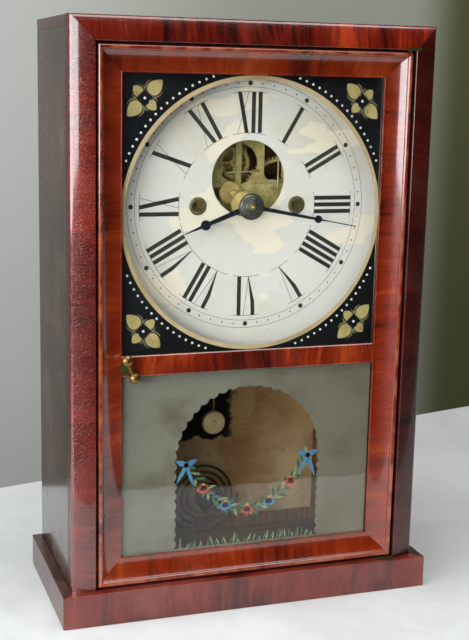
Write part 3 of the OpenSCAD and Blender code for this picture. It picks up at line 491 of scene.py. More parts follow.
metal_finish, where, given, wanted = start_group("old metal", "Bright Dull Spots", "Age", "Color",
                                                 "Roughness Height")
dulling = between(cloud(where, 120, 4, 0.6), 0.34, 0.68)
specks = between(cloud(where, 900, 3), 0.6, 0.74)
scratches = cloud(where, (260, 2400, 4200))
patchy = times(dulling, given["Age"])
bright = mixed(patchy, given["Bright"], given["Dull"])
fill(wanted["Color"], mixed(times(specks, given["Age"]), bright, given["Spots"]))
fill(wanted["Roughness"], plus(times(patchy, 0.22), times(scratches, 0.22)))
fill(wanted["Height"], plus(scratches, specks))


def old_metal(name, bright, dull, spots, age, roughness, metallic=1.0, bump=0.03 * MM):
    """Metal that has gone dull and spotted with age, and rougher than it was."""
    material, tree, shader = new_material(name, Metallic=metallic)
    finish = place_group(metal_finish, object_space(tree), bright, dull, spots, age)
    fill(shader.inputs["Roughness"], plus(finish["Roughness"], roughness))
    surface(shader, finish["Color"], finish["Height"], bump)
    return material


def finish_nodes(material, slot, *names):
    """Gives CAD pieces whose shape is already right their material."""
    for name in names:
        data = frame["nodes"][name].data
        data.materials.clear()
        data.materials.append(material)


gong_steel = old_metal("gong steel", "#6b6053", "#41372d", "#5a3a26", 0.8, 0.32)
cast_iron = old_metal("cast iron", "#3d3d40", "#232325", "#4c3020", 0.9, 0.5, 0.7, 0.1 * MM)
eased_copy("gong_stand", cast_iron, 0.5 * MM, sharp=60)
finish_nodes(gong_steel, "gong_steel", "gong_coil")


# ---------------------------------------------------------------- Movement
# Brass plates hold both trains between them on turned pillars. The wheels are cut brass on
# steel arbors, and two coiled mainsprings drive them. All of it has dulled evenly. Bent
# wires of the striking train's lifting work cross the dial's open centre.

plate_brass = old_metal("movement brass", "#e0d48a", "#b0a862", "#4d4a26", 0.8, 0.42, 0.35)
wheel_brass = old_metal("wheel brass", "#ecd690", "#c0a860", "#5d5026", 0.6, 0.36, 0.4)
spring_blue = old_metal("spring steel", "#6d7a88", "#474d57", "#5b3f2c", 0.55, 0.24)
plain_steel = old_metal("plain steel", "#a3a5a6", "#6b6a66", "#5a4030", 0.5, 0.24)
finish_nodes(plate_brass, "movement_brass", "front_plate", "back_plate", "pillars", "pillar_nuts",
             "movement_posts", "suspension_cock")
finish_nodes(wheel_brass, "movement_brass", "cannon_pinion", "hour_wheel", "minute_wheel",
             "time_great_wheel", "centre_wheel", "third_wheel", "escape_wheel", "strike_great_wheel",
             "pin_wheel", "warning_wheel", "fly", "count_wheel")
finish_nodes(plain_steel, "steel", "movement_screws", "time_winding_arbor", "strike_winding_arbor", "verge",
             "hammer")
finish_nodes(spring_blue, "spring_steel", "time_mainspring", "strike_mainspring")


def bent_wire(points, radius):
    """A wire through the points, (x, y, z) in metres, its bends a little rounded."""
    sides = 10
    mesh = bmesh.new()
    route = [Vector(points[0])]
    for before, corner, after in zip(points, points[1:], points[2:]):
        before, corner, after = Vector(before), Vector(corner), Vector(after)
        for share in (0.0, 0.25, 0.5, 0.75, 1.0):
            start = corner + (before - corner).normalized() * 2 * radius
            end = corner + (after - corner).normalized() * 2 * radius
            route.append(start.lerp(corner, share).lerp(corner.lerp(end, share), share))
    route.append(Vector(points[-1]))
    loops = []
    for i, place in enumerate(route):
        ahead = route[min(i + 1, len(route) - 1)] - route[max(i - 1, 0)]
        pose = Matrix.Translation(place) @ ahead.to_track_quat("Z", "Y").to_matrix().to_4x4()
        ends = i in (0, len(route) - 1)
        made = bmesh.ops.create_circle(mesh, cap_ends=ends, segments=sides, radius=radius,
                                       matrix=pose)["verts"]
        loops.append(list({e for v in made for e in v.link_edges if all(w in made for w in e.verts)}))
    for first, second in zip(loops, loops[1:]):
        bmesh.ops.bridge_loops(mesh, edges=first + second)
    bmesh.ops.recalc_face_normals(mesh, faces=mesh.faces)
    return mesh


# Each wire rises from the front plate, runs across and ends in a small hook
face_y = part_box("pillar_nuts")[1].y
lever_wire = old_metal("lever wire", "#b9b58c", "#77724c", "#4a4028", 0.6, 0.3, 0.6)
wire_r = 0.6 * MM
hook_back = 2.4 * MM
hook_down = 1.0
for name, out, (x0, z0), (x1, z1) in (("lifting_wire", 14.6, (33.5, 340), (10, 340)),
                                      ("warning_wire", 16.2, (28, 334), (28, 360)),
                                      ("locking_wire", 13.1, (14, 349), (-14, 348))):
    wire_y = face_y - out * MM
    route = [(x0, face_y, z0), (x0, wire_y, z0), (x1, wire_y, z1), (x1, wire_y + hook_back, z1 - hook_down)]
    wire = bent_wire([(x * MM, y, z * MM) for x, y, z in route], wire_r)
    make_piece(name, wire, lever_wire, "case")


# ---------------------------------------------------------------- Pendulum
# A brass-faced bob hangs on a thin wire rod from a short suspension spring.

rod_brass = old_metal("rod brass", "#bfa05a", "#86713a", "#4b3f20", 0.6, 0.26)
bob_brass = old_metal("bob brass", "#f0dca8", "#d2b070", "#8a6c3c", 0.45, 0.36, 0.6)
finish_nodes(rod_brass, "brass_wire", "pendulum_rod")

bob_low, bob_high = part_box("pendulum_bob")
bob_r = (bob_high.x - bob_low.x) / 2
bob_centre = (bob_low + bob_high) / 2


def turned(section, steps=96):
    """Turns points (radius, y) in metres about the Y axis. They end on the axis or where they began."""
    mesh = bmesh.new()
    line = [mesh.verts.new((radius, y, 0)) for radius, y in section]
    edges = [mesh.edges.new(pair) for pair in zip(line, line[1:])]
    bmesh.ops.spin(mesh, geom=line + edges, cent=(0, 0, 0), axis=(0, 1, 0), angle=math.tau, steps=steps,
                   use_merge=True, use_duplicate=False)
    bmesh.ops.remove_doubles(mesh, verts=mesh.verts, dist=1e-7)
    bmesh.ops.recalc_face_normals(mesh, faces=mesh.faces)
    return mesh


bob_rings = [(0, 0.1), (1.6, 0), (2.3, 0.5), (2.6, 1.1), (4.6, 0.9), (5.0, 1.25), (5.4, 1.0), (8.0, 1.3),
             (8.4, 1.65), (8.8, 1.5)]
bob_section = [(radius * MM, bob_low.y + y * MM) for radius, y in bob_rings]
bob_section += [(bob_r - 0.7 * MM, bob_low.y + 1.9 * MM), (bob_r, bob_low.y + 2.8 * MM),
                (bob_r, bob_high.y - 1.2 * MM), (bob_r - 0.8 * MM, bob_high.y), (0, bob_high.y)]
bob = turned(bob_section)
stand(bob, bob_centre.x, 0, bob_centre.z)
make_piece("bob", bob, bob_brass, "pendulum", ("pendulum_bob",), smooth=50)


# ---------------------------------------------------------------- Dial
# A zinc plate painted off-white, lettered in black with plain Roman hours, a ring of minute
# dots between two fine lines, and brass eyelets in the winding holes. It is pinned to blocks.

aged_paint, where, given, wanted = start_group("aged paint", "Paint Stain Fleck", "Age", "Color", "Height")
stain = between(cloud(where, 15, 4, 0.6), 0.42, 0.74)
flecks = between(cloud(where, 520), 0.7, 0.77)
lines = between(cloud(where, (60, 60, 900)), 0.55, 0.8)
old = mixed(times(stain, given["Age"]), given["Paint"], given["Stain"])
brushed = mixed(times(lines, 0.12), old, given["Stain"])
fill(wanted["Color"], mixed(times(flecks, 0.7), brushed, given["Fleck"]))
fill(wanted["Height"], less(lines, flecks))


def old_paint(name, paint, stain, fleck, age, roughness=0.5, bump=0.04 * MM, fine=1.0):
    """Brushed paint, stained and flecked with age. A higher fine makes its stains smaller."""
    material, tree, shader = new_material(name, Roughness=roughness)
    vector = stretched(object_space(tree), (fine, fine, fine))
    layer = place_group(aged_paint, vector, paint, stain, fleck, age)
    surface(shader, layer["Color"], layer["Height"], bump)
    return material


dial_low, dial_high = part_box("dial")
washer_low, washer_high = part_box("hand_washer")
hands_z = (washer_low.z + washer_high.z) / 2


def tinted(material, share, colour):
    """Lays a second colour over a material's own, where the share of it says."""
    base = material.node_tree.nodes["Principled BSDF"].inputs["Base Color"]
    fill(base, mixed(share, base.links[0].from_socket, colour))


dial_white = old_paint("dial white", "#d8d9d0", "#c9c4a6", "#9c9075", 0.6, 0.42)
tree = dial_white.node_tree
touched_up = cloud(object_space(tree, shift=0.04), (13, 1, 26), 3, 0.45, 0.4)
tinted(dial_white, between(touched_up, 0.54, 0.555, 0.0, 0.6), "#efe7cb")
dial_black = old_paint("dial black", "#23261f", "#3a3d34", "#6d6c5e", 0.6, 0.5)
finish_nodes(dial_white, "dial_paint", "dial")
block_pine = pine("block pine", "ZXY", "#8d683c", "#654323", "#33261b", 0.6, 0.4)
eased_copy("dial_blocks", block_pine, 0.4 * MM, sharp=60)
pin_brass = old_metal("pin brass", "#c9a860", "#8a743c", "#4b3f20", 0.5, 0.25)
finish_nodes(pin_brass, "brass", "dial_pins")

wind_x = 41 * MM
hole_r = 6.2 * MM
eyelet_bore = 4.7 * MM
neck_r = hole_r - 0.1 * MM
flange_r = 7.1 * MM
flange_y = dial_low.y - 0.4 * MM
flange_back = flange_y + 0.35 * MM
eyelet_brass = old_metal("eyelet brass", "#8b8766", "#565640", "#3a3524", 0.7, 0.32, 0.8)
eyelet_section = [(eyelet_bore, flange_y), (flange_r - 0.3 * MM, flange_y), (flange_r, flange_y + 0.2 * MM),
                  (flange_r, flange_back), (neck_r, flange_back), (neck_r, dial_high.y),
                  (eyelet_bore, dial_high.y), (eyelet_bore, flange_y)]
for side, name in ((-1, "eyelet_left"), (1, "eyelet_right")):
    eyelet = turned(eyelet_section, 48)
    stand(eyelet, side * wind_x, 0, hands_z)
    make_piece(name, eyelet, eyelet_brass, "case", smooth=40)

ink_t = 0.03 * MM
ink_y = dial_low.y - ink_t
hour_in = 56.5
hour_out = 88.0
stroke = 3.3
hairline = 0.34
letter_gap = 2.1
letter_w = {"I": stroke, "V": 9.4, "X": 9.6}
serif_over = 3.6
ring_in = 91.7
ring_out = 97.8
dot_ring = 94.56


def stroke_mesh(mesh, low, high, low_w, high_w):
    """A painted stroke between two points (across, out) in millimetres, its ends level."""
    corners = [(low[0] - low_w / 2, low[1]), (low[0] + low_w / 2, low[1]), (high[0] + high_w / 2, high[1]),
               (high[0] - high_w / 2, high[1])]
    thicken(mesh, outline_face(mesh, [(a * MM, 0, r * MM) for a, r in corners]), (0, ink_t, 0))


def band(mesh, inner, outer, thick, start=0.0, end=360.0, steps=180):
    """A flat ring or part of one about the Y axis, its radii in millimetres."""
    whole = end - start >= 360
    section = ((inner, 0), (outer, 0), (outer, thick), (inner, thick))
    line = [mesh.verts.new((radius * MM, y, 0)) for radius, y in section]
    face = bmesh.ops.contextual_create(mesh, geom=line)["faces"]
    turn = Matrix.Rotation(math.radians(start), 3, "Y")
    bmesh.ops.rotate(mesh, cent=(0, 0, 0), matrix=turn, verts=line)
    geometry = [e for e in face[0].edges] + line
    if not whole:
        geometry += face
    bmesh.ops.spin(mesh, geom=geometry, cent=(0, 0, 0), axis=(0, 1, 0), angle=math.radians(end - start),
                   steps=steps, use_merge=whole, use_duplicate=False)
    if whole:
        bmesh.ops.delete(mesh, geom=face, context="FACES_ONLY")


def letters(numeral):
    """One hour's numeral, upright at twelve, as strokes about the middle of the dial."""
    mesh = bmesh.new()
    width = sum(letter_w[c] for c in numeral) + letter_gap * (len(numeral) - 1)
    left = -width / 2
    for c in numeral:
        right = left + letter_w[c]
        first = left + stroke / 2
        last = right - stroke / 2
        middle = (left + right) / 2
        if c == "I":
            stroke_mesh(mesh, (middle, hour_in), (middle, hour_out), stroke, stroke)
        if c == "V":
            point = (middle + 0.8, hour_in)
            bend = (first, hour_out - 11)
            stroke_mesh(mesh, point, bend, 0.5, stroke)
            stroke_mesh(mesh, bend, (first - 0.4, hour_out), stroke, stroke)
            stroke_mesh(mesh, point, (last + 1.4, hour_out), hairline, hairline)
        if c == "X":
            stroke_mesh(mesh, (last, hour_in), (first, hour_out), stroke, stroke)
            stroke_mesh(mesh, (first - 0.8, hour_in), (last + 1.0, hour_out), hairline, hairline)
        left = right + letter_gap
    spread = (width / 2 + serif_over) * MM
    for radius in (hour_in, hour_out):
        reach = math.degrees(spread / (radius * MM))
        band(mesh, radius - hairline / 2, radius + hairline / 2, ink_t, -90 - reach, -90 + reach, 16)
    return mesh


def painted(name, parts, material, y, centre, body="case"):
    """Joins flat painted strokes into one piece, set with its front at y."""
    whole = bmesh.new()
    for part in parts:
        held = bpy.data.meshes.new("stroke")
        part.to_mesh(held)
        part.free()
        whole.from_mesh(held)
        bpy.data.meshes.remove(held)
    stand(whole, centre[0], y, centre[1])
    bmesh.ops.recalc_face_normals(whole, faces=whole.faces)
    make_piece(name, whole, material, body)


numerals = "XII I II III IIII V VI VII VIII IX X XI".split()
hour_marks = [swung(letters(numeral), math.radians(30 * i)) for i, numeral in enumerate(numerals)]
painted("dial_hours", hour_marks, dial_black, ink_y, (0, hands_z))


def disc(radius, thick=ink_t, steps=20):
    mesh = bmesh.new()
    bmesh.ops.create_cone(mesh, cap_ends=True, segments=steps, radius1=radius * MM, radius2=radius * MM,
                          depth=thick)
    swung(mesh, math.radians(90), "X")
    stand(mesh, 0, thick / 2, 0)
    return mesh


hour_dot_r = 1.9
minute_dot_r = 0.6
half_line = 0.14
minute_marks = []
for minute in range(60):
    dot = disc(hour_dot_r if minute % 5 == 0 else minute_dot_r)
    stand(dot, 0, 0, dot_ring * MM)
    minute_marks.append(swung(dot, math.radians(6 * minute)))
for radius in (ring_in, ring_out):
    line = bmesh.new()
    band(line, radius - half_line, radius + half_line, ink_t)
    minute_marks.append(line)
painted("dial_minutes", minute_marks, dial_black, ink_y, (0, hands_z))


# ---------------------------------------------------------------- Hands
# Both hands are sheet steel, blued long ago and now nearly black, under a domed washer with
# turned rings and a small brass nut.

blued = old_metal("blued steel", "#3b4450", "#1d2127", "#4b3a30", 0.75, 0.3, 0.9)
for node in ("minute_hand", "hour_hand"):
    eased_copy(node, blued, 0.12 * MM, sharp=50)

washer_steel = old_metal("washer steel", "#7d8277", "#4c5149", "#3c3a2c", 0.85, 0.25)
washer_r = (washer_high.x - washer_low.x) / 2
front = washer_low.y
rim = washer_high.y
dome = rim - front - 0.8 * MM
nut_r = 3.0 * MM
bore_r = 1.1 * MM
washer_section = [(bore_r, rim), (nut_r, rim - dome * 0.92)]
for step in range(1, 12):
    radius = nut_r + (washer_r - nut_r) * step / 11
    groove = 0.4 * MM if step in (3, 6, 9) else 0
    washer_section.append((radius, rim - dome * (1 - (radius / washer_r) ** 2) + groove))
washer = turned(washer_section + [(bore_r, rim)])
stand(washer, 0, 0, hands_z)
make_piece("boss_washer", washer, washer_steel, "minute", ("hand_washer",), smooth=50)
nut_brass = old_metal("nut brass", "#ab9660", "#756538", "#4a3a22", 0.6, 0.26)
nut_foot = rim - dome * 0.9
nut = turned([(bore_r, nut_foot), (nut_r, nut_foot), (nut_r, front + 0.25 * MM), (nut_r - 0.4 * MM, front),
              (bore_r, front), (bore_r, nut_foot)], 48)
stand(nut, 0, 0, hands_z)
make_piece("boss_nut", nut, nut_brass, "minute", smooth=40)


# ---------------------------------------------------------------- Door
# Two stiles and two rails with a bead outside and a shallow cove inside, mitred at the
# corners and veneered across the grain, with a flat rail between the two glasses.

stile_low, stile_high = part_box("stile_left")
rail_low, rail_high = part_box("rail_top")
mid_low, mid_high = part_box("rail_middle")
rail_w = (rail_high.z - rail_low.z) / MM
bead_r = 2.2
foot_y = (stile_low.y - case_front) / MM + bead_r
quirk = 0.15
quirk_d = 0.5
lip_w = 1.0
lip_y = (mid_low.y - case_front) / MM
lip_rise = 0.4
glass_y = (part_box("upper_glass")[0].y - case_front) / MM
rebate = 4.0
door_back = (stile_high.y - case_front) / MM
cove_from = 2 * bead_r - quirk
cove_w = rail_w - lip_w - cove_from
cove_d = lip_y - foot_y - quirk_d
cove_r = (cove_w ** 2 + cove_d ** 2) / (2 * cove_d)
bead_end = 360 - math.degrees(math.acos((cove_from - bead_r) / bead_r))
cove_angle = math.degrees(math.asin(cove_w / cove_r))
cove = (arc((bead_r, foot_y), bead_r, 180, bead_end, 16) + [(cove_from, foot_y + quirk_d)]
        + arc((rail_w - lip_w, lip_y - cove_r), cove_r, 90 + cove_angle, 90, 14)[1:]
        + [(rail_w - lip_w, lip_y - lip_rise), (rail_w, lip_y - lip_rise), (rail_w, glass_y),
           (rail_w - rebate, glass_y), (rail_w - rebate, door_back), (0, door_back)])

door_stile = mahogany("door stile", "ZXY", "#45100a", "#882a0f", "#bd4c1a", 0.9, 0.45, 0.22, 0.71,
                      "#7d564c", 0.05, crest=stile_low.y)
door_rail = mahogany("door rail", "XZY", "#4c1407", "#8c2c0e", "#c2561f", 0.9, 0.4, 0.22, 0.27,
                     "#7d5a4a", 0.06, crest=stile_low.y)
door_middle = mahogany("door middle rail", "XZY", "#431008", "#80240f", "#bd4a1a", 1.3, 0.3, 0.24, 0.55,
                       "#7d5a4a", 0.05)
for side in ("left", "right"):
    upright = length_of(cove, stile_high.z - stile_low.z, (True, True), 0.2)
    stand(upright, stile_low.x, case_front, stile_low.z)
    if side == "right":
        mirrored(upright, 0)
    make_piece("door_stile_" + side, upright, door_stile, "door", ("stile_" + side,))
for place in ("top", "bottom"):
    across = length_of(cove, rail_high.x - rail_low.x, (True, True), 0.2)
    laid(across)
    if place == "bottom":
        mirrored(across, 2)
    stand(across, rail_low.x, case_front, rail_high.z if place == "top" else stile_low.z)
    make_piece("door_rail_" + place, across, door_rail, "door", ("rail_" + place,))
eased_copy("rail_middle", door_middle, 0.25 * MM, sharp=25)


# ---------------------------------------------------------------- Upper glass
# Clear glass painted behind: black corners round a window, a dull gold ring at its edge, a
# row of white dots, and in each corner a straw-coloured flower with fine outlines.

def window_glass(name, roughness):
    """Thin clear glass, whose shadow lets most of the light through."""
    material, tree, shader = new_material(name, Transmission_Weight=1.0, IOR=1.45, Roughness=roughness)
    surface(shader, "#ffffff", cloud(object_space(tree), 11), 0.6 * MM)
    clear = put(tree, "BsdfTransparent", Color="#fafafa")
    shadow = put(tree, "LightPath").node.outputs["Is Shadow Ray"]
    both = put(tree, "MixShader", shadow, shader.outputs[0], clear)
    fill(tree.nodes["Material Output"].inputs["Surface"], both)
    return material


pane_low, pane_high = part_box("upper_glass")
finish_nodes(window_glass("window glass", 0.0), "painted_glass", "upper_glass")
window_z = (pane_low.z + pane_high.z) / 2
window_r = 103.0
gold_w = 3.3
paint_t = 0.04 * MM
paint_y = pane_high.y + 0.01 * MM
sight_x = abs(stile_high.x + 0.8 * MM)
sight_top = rail_low.z + 0.8 * MM
sight_low = mid_high.z - 0.8 * MM

black_paint = old_paint("black glass paint", "#07090a", "#12151a", "#1c1f22", 0.8, 0.35)
gold_paint = old_paint("gold glass paint", "#b9a87e", "#9a8660", "#5f5038", 0.8, 0.45)
straw_paint = old_paint("straw glass paint", "#a99d64", "#7d6b36", "#2c2818", 1.0, 0.5, fine=5.0)
line_paint = old_paint("outline glass paint", "#9d9a72", "#6d6a4a", "#3a3520", 0.8, 0.5)
dot_paint = old_paint("dot glass paint", "#dcdcd2", "#b9b6a4", "#8d8a78", 0.5, 0.5)


def sheet_with_hole(low_z, high_z, hole, y):
    """A thin sheet of paint as wide as the glass, its opening's edge running through the points of hole."""
    mesh = bmesh.new()
    rims = []
    sides = [(-sight_x, low_z), (sight_x, low_z), (sight_x, high_z), (-sight_x, high_z)]
    for points in (sides, hole):
        corners = [mesh.verts.new((x, y, z)) for x, z in points]
        rims += [mesh.edges.new((corners[i - 1], corners[i])) for i in range(len(corners))]
    bmesh.ops.triangle_fill(mesh, edges=rims, use_beauty=True)
    bmesh.ops.recalc_face_normals(mesh, faces=mesh.faces)
    thicken(mesh, list(mesh.faces), (0, paint_t, 0))
    bmesh.ops.recalc_face_normals(mesh, faces=mesh.faces)
    return mesh


def on_glass(name, parts, material, y=paint_y, middle=window_z):
    painted(name, parts, material, y, (0, middle), "door")


circle = [(x * MM, window_z + z * MM) for x, z in arc((0, 0), window_r + gold_w - 0.3, 0, 357.5, 143)]
black = sheet_with_hole(sight_low, sight_top, circle, paint_y + 2 * paint_t)
make_piece("window_black", black, black_paint, "door")
gold = bmesh.new()
band(gold, window_r, window_r + gold_w, paint_t)
on_glass("window_gold_ring", [gold], gold_paint, paint_y + paint_t)

dot_ring_r = 110.3
dot_gap = 5.9
dot_r = 0.95
dots_within_x = sight_x / MM - 2
dots_within_z = (sight_top - sight_low) / 2 / MM - 2
dots = []
dot_count = round(math.tau * dot_ring_r / dot_gap)
for i in range(dot_count):
    turn = math.tau * i / dot_count
    if (abs(dot_ring_r * math.sin(turn)) < dots_within_x
            and abs(dot_ring_r * math.cos(turn)) < dots_within_z):
        dot = disc(dot_r, paint_t, 10)
        stand(dot, 0, 0, dot_ring_r * MM)
        dots.append(swung(dot, turn))


def flat_shape(outline):
    """A thin painted shape whose outline runs through the points, in millimetres."""
    mesh = bmesh.new()
    thicken(mesh, outline_face(mesh, [(x * MM, 0, z * MM) for x, z in outline]), (0, paint_t, 0))
    return mesh


def petal_side(length, width, blunt):
    """One side of a petal, from its pointed root outwards; blunt rounds and widens its far end."""
    side = []
    steps = 12
    for i in range(steps + 1):
        t = i / steps
        spread = math.sin(math.pi * t ** (1 - 0.45 * blunt)) ** (1 - 0.4 * blunt) if 0 < t < 1 else 0.02
        side.append((width / 2 * spread, length * t))
    return side


def petal(length, width, blunt):
    """A petal from its root at the origin outwards along Z."""
    side = petal_side(length, width, blunt)
    return flat_shape(side + [(-x, z) for x, z in reversed(side)])


def outline_stroke(length, width, blunt, lean):
    """A fine brush line that follows one side of a petal, a little outside it."""
    gap = 1.5
    half_w = 0.24
    side = petal_side(length, width, blunt)[:8]
    inner = [(lean * (x + gap - half_w), z) for x, z in side]
    outer = [(lean * (x + gap + half_w), z - 0.3) for x, z in reversed(side)]
    return flat_shape(inner + outer)


def moved(mesh, x, z, turn=0.0):
    """Turns a flat shape clockwise on the glass, then moves it, in millimetres."""
    swung(mesh, turn)
    stand(mesh, x * MM, 0, z * MM)
    return mesh


# A petal's length, width and bluntness, and how far its root stands from the flower's middle
short_petal = (7.6, 7.8, 1.0), 4.6
long_petal = (14.0, 10.6, 0.7), 4.8
flower_at = 88.0
inner_dot_r = 1.05
inner_dots = ((0.0, 0.0), (4.524, 2.6))
flowers = []
outlines = []
for sx, sz in ((1, 1), (1, -1), (-1, 1), (-1, -1)):
    x, z = sx * flower_at, sz * flower_at
    outwards = math.atan2(x, z)
    for k in range(4):
        turn = outwards + k * math.pi / 2
        shape, root = long_petal if k % 2 == 1 else short_petal
        place = (x + root * math.sin(turn), z + root * math.cos(turn), turn)
        flowers.append(moved(petal(*shape), *place))
        for lean in (-1, 1):
            outlines.append(moved(outline_stroke(*shape, lean), *place))
    for aside, down in inner_dots:
        dots.append(moved(disc(inner_dot_r, paint_t, 12), x - aside * sx * sz, z - down))
on_glass("window_dots", dots, dot_paint)
on_glass("window_flowers", flowers, straw_paint)
on_glass("window_flower_lines", outlines, line_paint)


# ---------------------------------------------------------------- Lower glass
# A tablet frosted grey-green behind, round a clear arch with a scalloped edge. A painted
# swag of leaves, bell flowers and ribbon hangs across the arch, over a strip of meadow.

finish_nodes(window_glass("tablet glass", 0.02), "frosted_glass", "lower_glass")
tablet_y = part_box("lower_glass")[1].y + 0.01 * MM
tablet_top = mid_low.z + 0.8 * MM
tablet_foot = stile_low.z + (rail_w - 0.8) * MM

frost = old_paint("frosting", "#717263", "#55513f", "#35332a", 0.9, 0.6, 0.03 * MM, fine=1.6)
tree = frost.node_tree
tinted(frost, between(axes(coordinates(tree))[0], -0.02, 0.1, 0.0, 0.5), "#5a5039")
arch_x = 62.0
arch_foot = 49.5
arch_spring = 122.0
arch_rise = 60.0
scallop = 2.2


def scalloped(count):
    """Shares of an edge with so many scallops, each with how far the edge stands in there."""
    steps = count * 8
    return [(i / steps, scallop * abs(math.sin(math.pi * count * i / steps))) for i in range(steps + 1)]


def arch_points():
    """The clear arch, its edge broken into small scallops, in metres."""
    top = []
    for share, wave in scalloped(22):
        turn = math.pi * (1 - share)
        top.append(((arch_x - wave) * math.cos(turn), arch_spring + (arch_rise - wave) * math.sin(turn)))
    right = [(arch_x - wave, arch_spring + (arch_foot - arch_spring) * share) for share, wave in scalloped(9)]
    left = [(-x, z) for x, z in reversed(right)]
    return [(x * MM, z * MM) for x, z in top[:-1] + right + left[:-1]]


frosting = sheet_with_hole(tablet_foot, tablet_top, arch_points(), tablet_y + 2 * paint_t)
make_piece("tablet_frosting", frosting, frost, "door")

leaf_green = old_paint("leaf green paint", "#2c5a40", "#1c3d2c", "#6d8a5e", 0.9, 0.5, fine=4.0)
leaf_pale = old_paint("pale green paint", "#76895a", "#4d6342", "#b0b98c", 0.9, 0.5, fine=4.0)
bell_red = old_paint("red paint", "#b8412f", "#8a2a20", "#d98a70", 0.9, 0.5, fine=4.0)
bell_blue = old_paint("blue paint", "#437b98", "#2c566f", "#9fbcc4", 0.9, 0.5, fine=4.0)
warm_orange = old_paint("orange paint", "#cf7a3c", "#b0602c", "#e6b98a", 0.7, 0.5)
swag_half = 52.0
swag_top = 118.0
swag_drop = 40.0
leaf_pairs = 29
leaf_w = 2.4
bell_petal = (7.6, 3.2, 0.6)
bell_mouth_r = 1.3
knot_r = 2.1
bow = ((10, 4.6, 1.15), (10, 4.6, -1.15), (20, 3.2, 2.8), (17, 3.2, -2.65))
meadow_half = 57
blade_count = 41
blade_w = 1.3


def swag_point(t):
    """A place along the swag, t from -1 at the left end to 1 at the right."""
    return swag_half * t, swag_top - swag_drop * (1 - t * t)


leaves, pale_leaves, reds, blues, oranges = [], [], [], [], []
random.seed(11)
for i in range(leaf_pairs):
    t = -1 + 2 * i / (leaf_pairs - 1)
    x, z = swag_point(t)
    along = math.atan2(1, 2 * swag_drop * t / swag_half)
    for lean in (-1, 1):
        turn = along + lean * random.uniform(0.5, 1.0)
        leaf = moved(petal(random.uniform(6.5, 11), leaf_w, 0.1), x, z, turn)
        (leaves if (i + lean) % 3 else pale_leaves).append(leaf)
for i in range(5):
    x, z = swag_point(0.36 * (i - 2))
    kind = reds if i % 2 == 0 else blues
    for k in range(5):
        kind.append(moved(petal(*bell_petal), x, z + 2, math.pi + (k - 2) * 0.42))
    oranges.append(moved(disc(bell_mouth_r, paint_t, 16), x, z + 2.6))
for end in (-1, 1):
    x, z = swag_point(end)
    for length, width, turn in bow:
        blues.append(moved(petal(length, width, 0.75), x, z + 1, turn))
    reds.append(moved(disc(knot_r, paint_t, 16), x, z + 1))
for i in range(blade_count):
    x = meadow_half * (2 * i / (blade_count - 1) - 1)
    blade = petal(random.uniform(5, 11), blade_w, 0.0)
    (leaves if i % 2 else pale_leaves).append(moved(blade, x, arch_foot - 1, random.uniform(-0.5, 0.5)))
for kind, name, material in ((leaves, "green", leaf_green), (pale_leaves, "pale_green", leaf_pale),
                             (reds, "red", bell_red), (blues, "blue", bell_blue),
                             (oranges, "orange", warm_orange)):
    depth = tablet_y + (0 if name in ("red", "blue", "orange") else paint_t)
    on_glass("tablet_" + name, kind, material, depth, 0)


# ---------------------------------------------------------------- Catch and hinges
# The catch is a cast brass knob with two lobes on a small plate, and turns a tongue behind
# the stile. Two brass pivot hinges stand at the door's right-hand corners.

latch_brass = old_metal("catch brass", "#a5824a", "#5f4a2c", "#39321f", 0.8, 0.22)
green_brass = old_metal("green brass", "#6d6a3c", "#454a33", "#2c3324", 0.9, 0.4)
finish_nodes(latch_brass, "old_brass", "latch_knob", "latch_tongue")
finish_nodes(green_brass, "old_brass", "latch_plate", "case_hinges", "door_hinges")


# ---------------------------------------------------------------- Studio
# A narrow table under a pale cloth before a wall whose colour carries painted light and shade, a low bright
# window along the left, soft light from above, and the camera where the photographer stood.

def stage_plate(name, corners, material):
    mesh = bmesh.new()
    bmesh.ops.contextual_create(mesh, geom=[mesh.verts.new(c) for c in corners])
    placed = as_object(name, mesh, material)


cloth, tree, shader = new_material("table cloth", Roughness=0.9)
vector = object_space(tree)
folds = cloud(vector, 5, 3, 0.5, 0.5)
cloth_white = mixed(between(folds, 0.35, 0.7), "#e8ebeb", "#dbdedd")
surface(shader, cloth_white, cloud(vector, 9, 3), 12 * MM, 0.5)
wall_paint, tree, shader = new_material("wall paint", Roughness=0.95)
# The wall's colour is painted light and shade: darker at the far left, brightest just left of the clock, and
# a painted shadow of the clock to its right.
across = axes(coordinates(tree))[0]
far_left = mixed(between(across, -0.45, -0.12), "#868984", "#dfe2db")
near = mixed(between(across, -0.05, 0.5), far_left, "#b0b4a4")
shade = mixed(between(across, 1.0, 1.5), "#61623d", "#9c9f90")
fill(shader.inputs["Base Color"], mixed(between(across, 0.76, 0.88), near, shade))

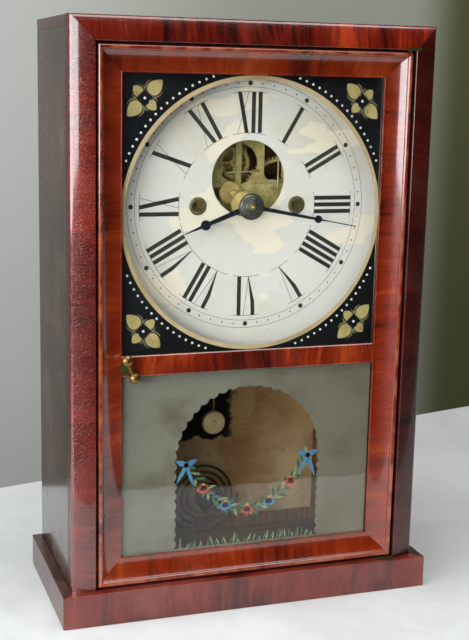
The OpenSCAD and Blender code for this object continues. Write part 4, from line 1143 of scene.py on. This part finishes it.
# The table's far edge runs askew to the wall: where it is on the left, then on the right
table_near = -0.33
table_far = (-0.326, 0.954)
table_side = 2.5
wall_y = 1.2
wall_foot = -1.5
wall_top = 3
wall_side = 4
stage_plate("table", [(-table_side, table_near, 0), (table_side, table_near, 0),
                      (table_side, table_far[1], 0), (-table_side, table_far[0], 0)], cloth)
stage_plate("wall", [(-wall_side, wall_y, wall_foot), (wall_side, wall_y, wall_foot),
                     (wall_side, wall_y, wall_top), (-wall_side, wall_y, wall_top)], wall_paint)


def lamp(name, place, aim, width, height, radiance, colour="#ffffff"):
    """A soft rectangular light of a given brightness, seen only in its effect."""
    light = bpy.data.lights.new(name, "AREA")
    light.shape = "RECTANGLE"
    light.size = width
    light.size_y = height
    light.energy = radiance * math.pi * width * height
    light.color = rgb(colour)[:3]
    holder = bpy.data.objects.new(name, light)
    scene.collection.objects.link(holder)
    holder.location = place
    holder.rotation_euler = (Vector(aim) - Vector(place)).to_track_quat("-Z", "Y").to_euler()
    holder.visible_camera = False


lamp("window_left", place=(-1.0, -1.0, 0.48), aim=(0, -1.0, 0.48), width=2.4, height=0.56, radiance=7.2,
     colour="#fbfcff")
lamp("ceiling", place=(0.1, -0.6, 2.2), aim=(0.1, 0.1, 0.0), width=2.0, height=1.6, radiance=3.4)

world = bpy.data.worlds.new("room")
world.use_nodes = True
scene.world = world
sky = world.node_tree
room = sky.nodes["Background"]
across = axes(coordinates(sky, "Generated"))[0]
dim = mixed(between(across, 0.3, -0.8), "#0e0f0d", "#6b6e72")
seen = put(sky, "LightPath").node.outputs["Is Camera Ray"]
fill(room.inputs["Color"], mixed(seen, dim, "#b9bcba"))

yaw, pitch, tilt = math.radians(19.153), math.radians(-11.27), math.radians(1.248)
forward = Vector((math.sin(yaw) * math.cos(pitch), math.cos(yaw) * math.cos(pitch), math.sin(pitch)))
level = Vector((math.cos(yaw), -math.sin(yaw), 0))
upright = level.cross(forward)
right = math.cos(tilt) * level + math.sin(tilt) * upright
up = math.cos(tilt) * upright - math.sin(tilt) * level
lens = bpy.data.cameras.new("camera")
lens.lens = 68.42
lens.sensor_width = 36
camera = bpy.data.objects.new("camera", lens)
scene.collection.objects.link(camera)
eye = (-0.3213, -0.9358, 0.4214)
camera.matrix_world = Matrix.Translation(eye) @ Matrix((right, up, -forward)).transposed().to_4x4()
scene.camera = camera
scene.view_settings.view_transform = "Standard"
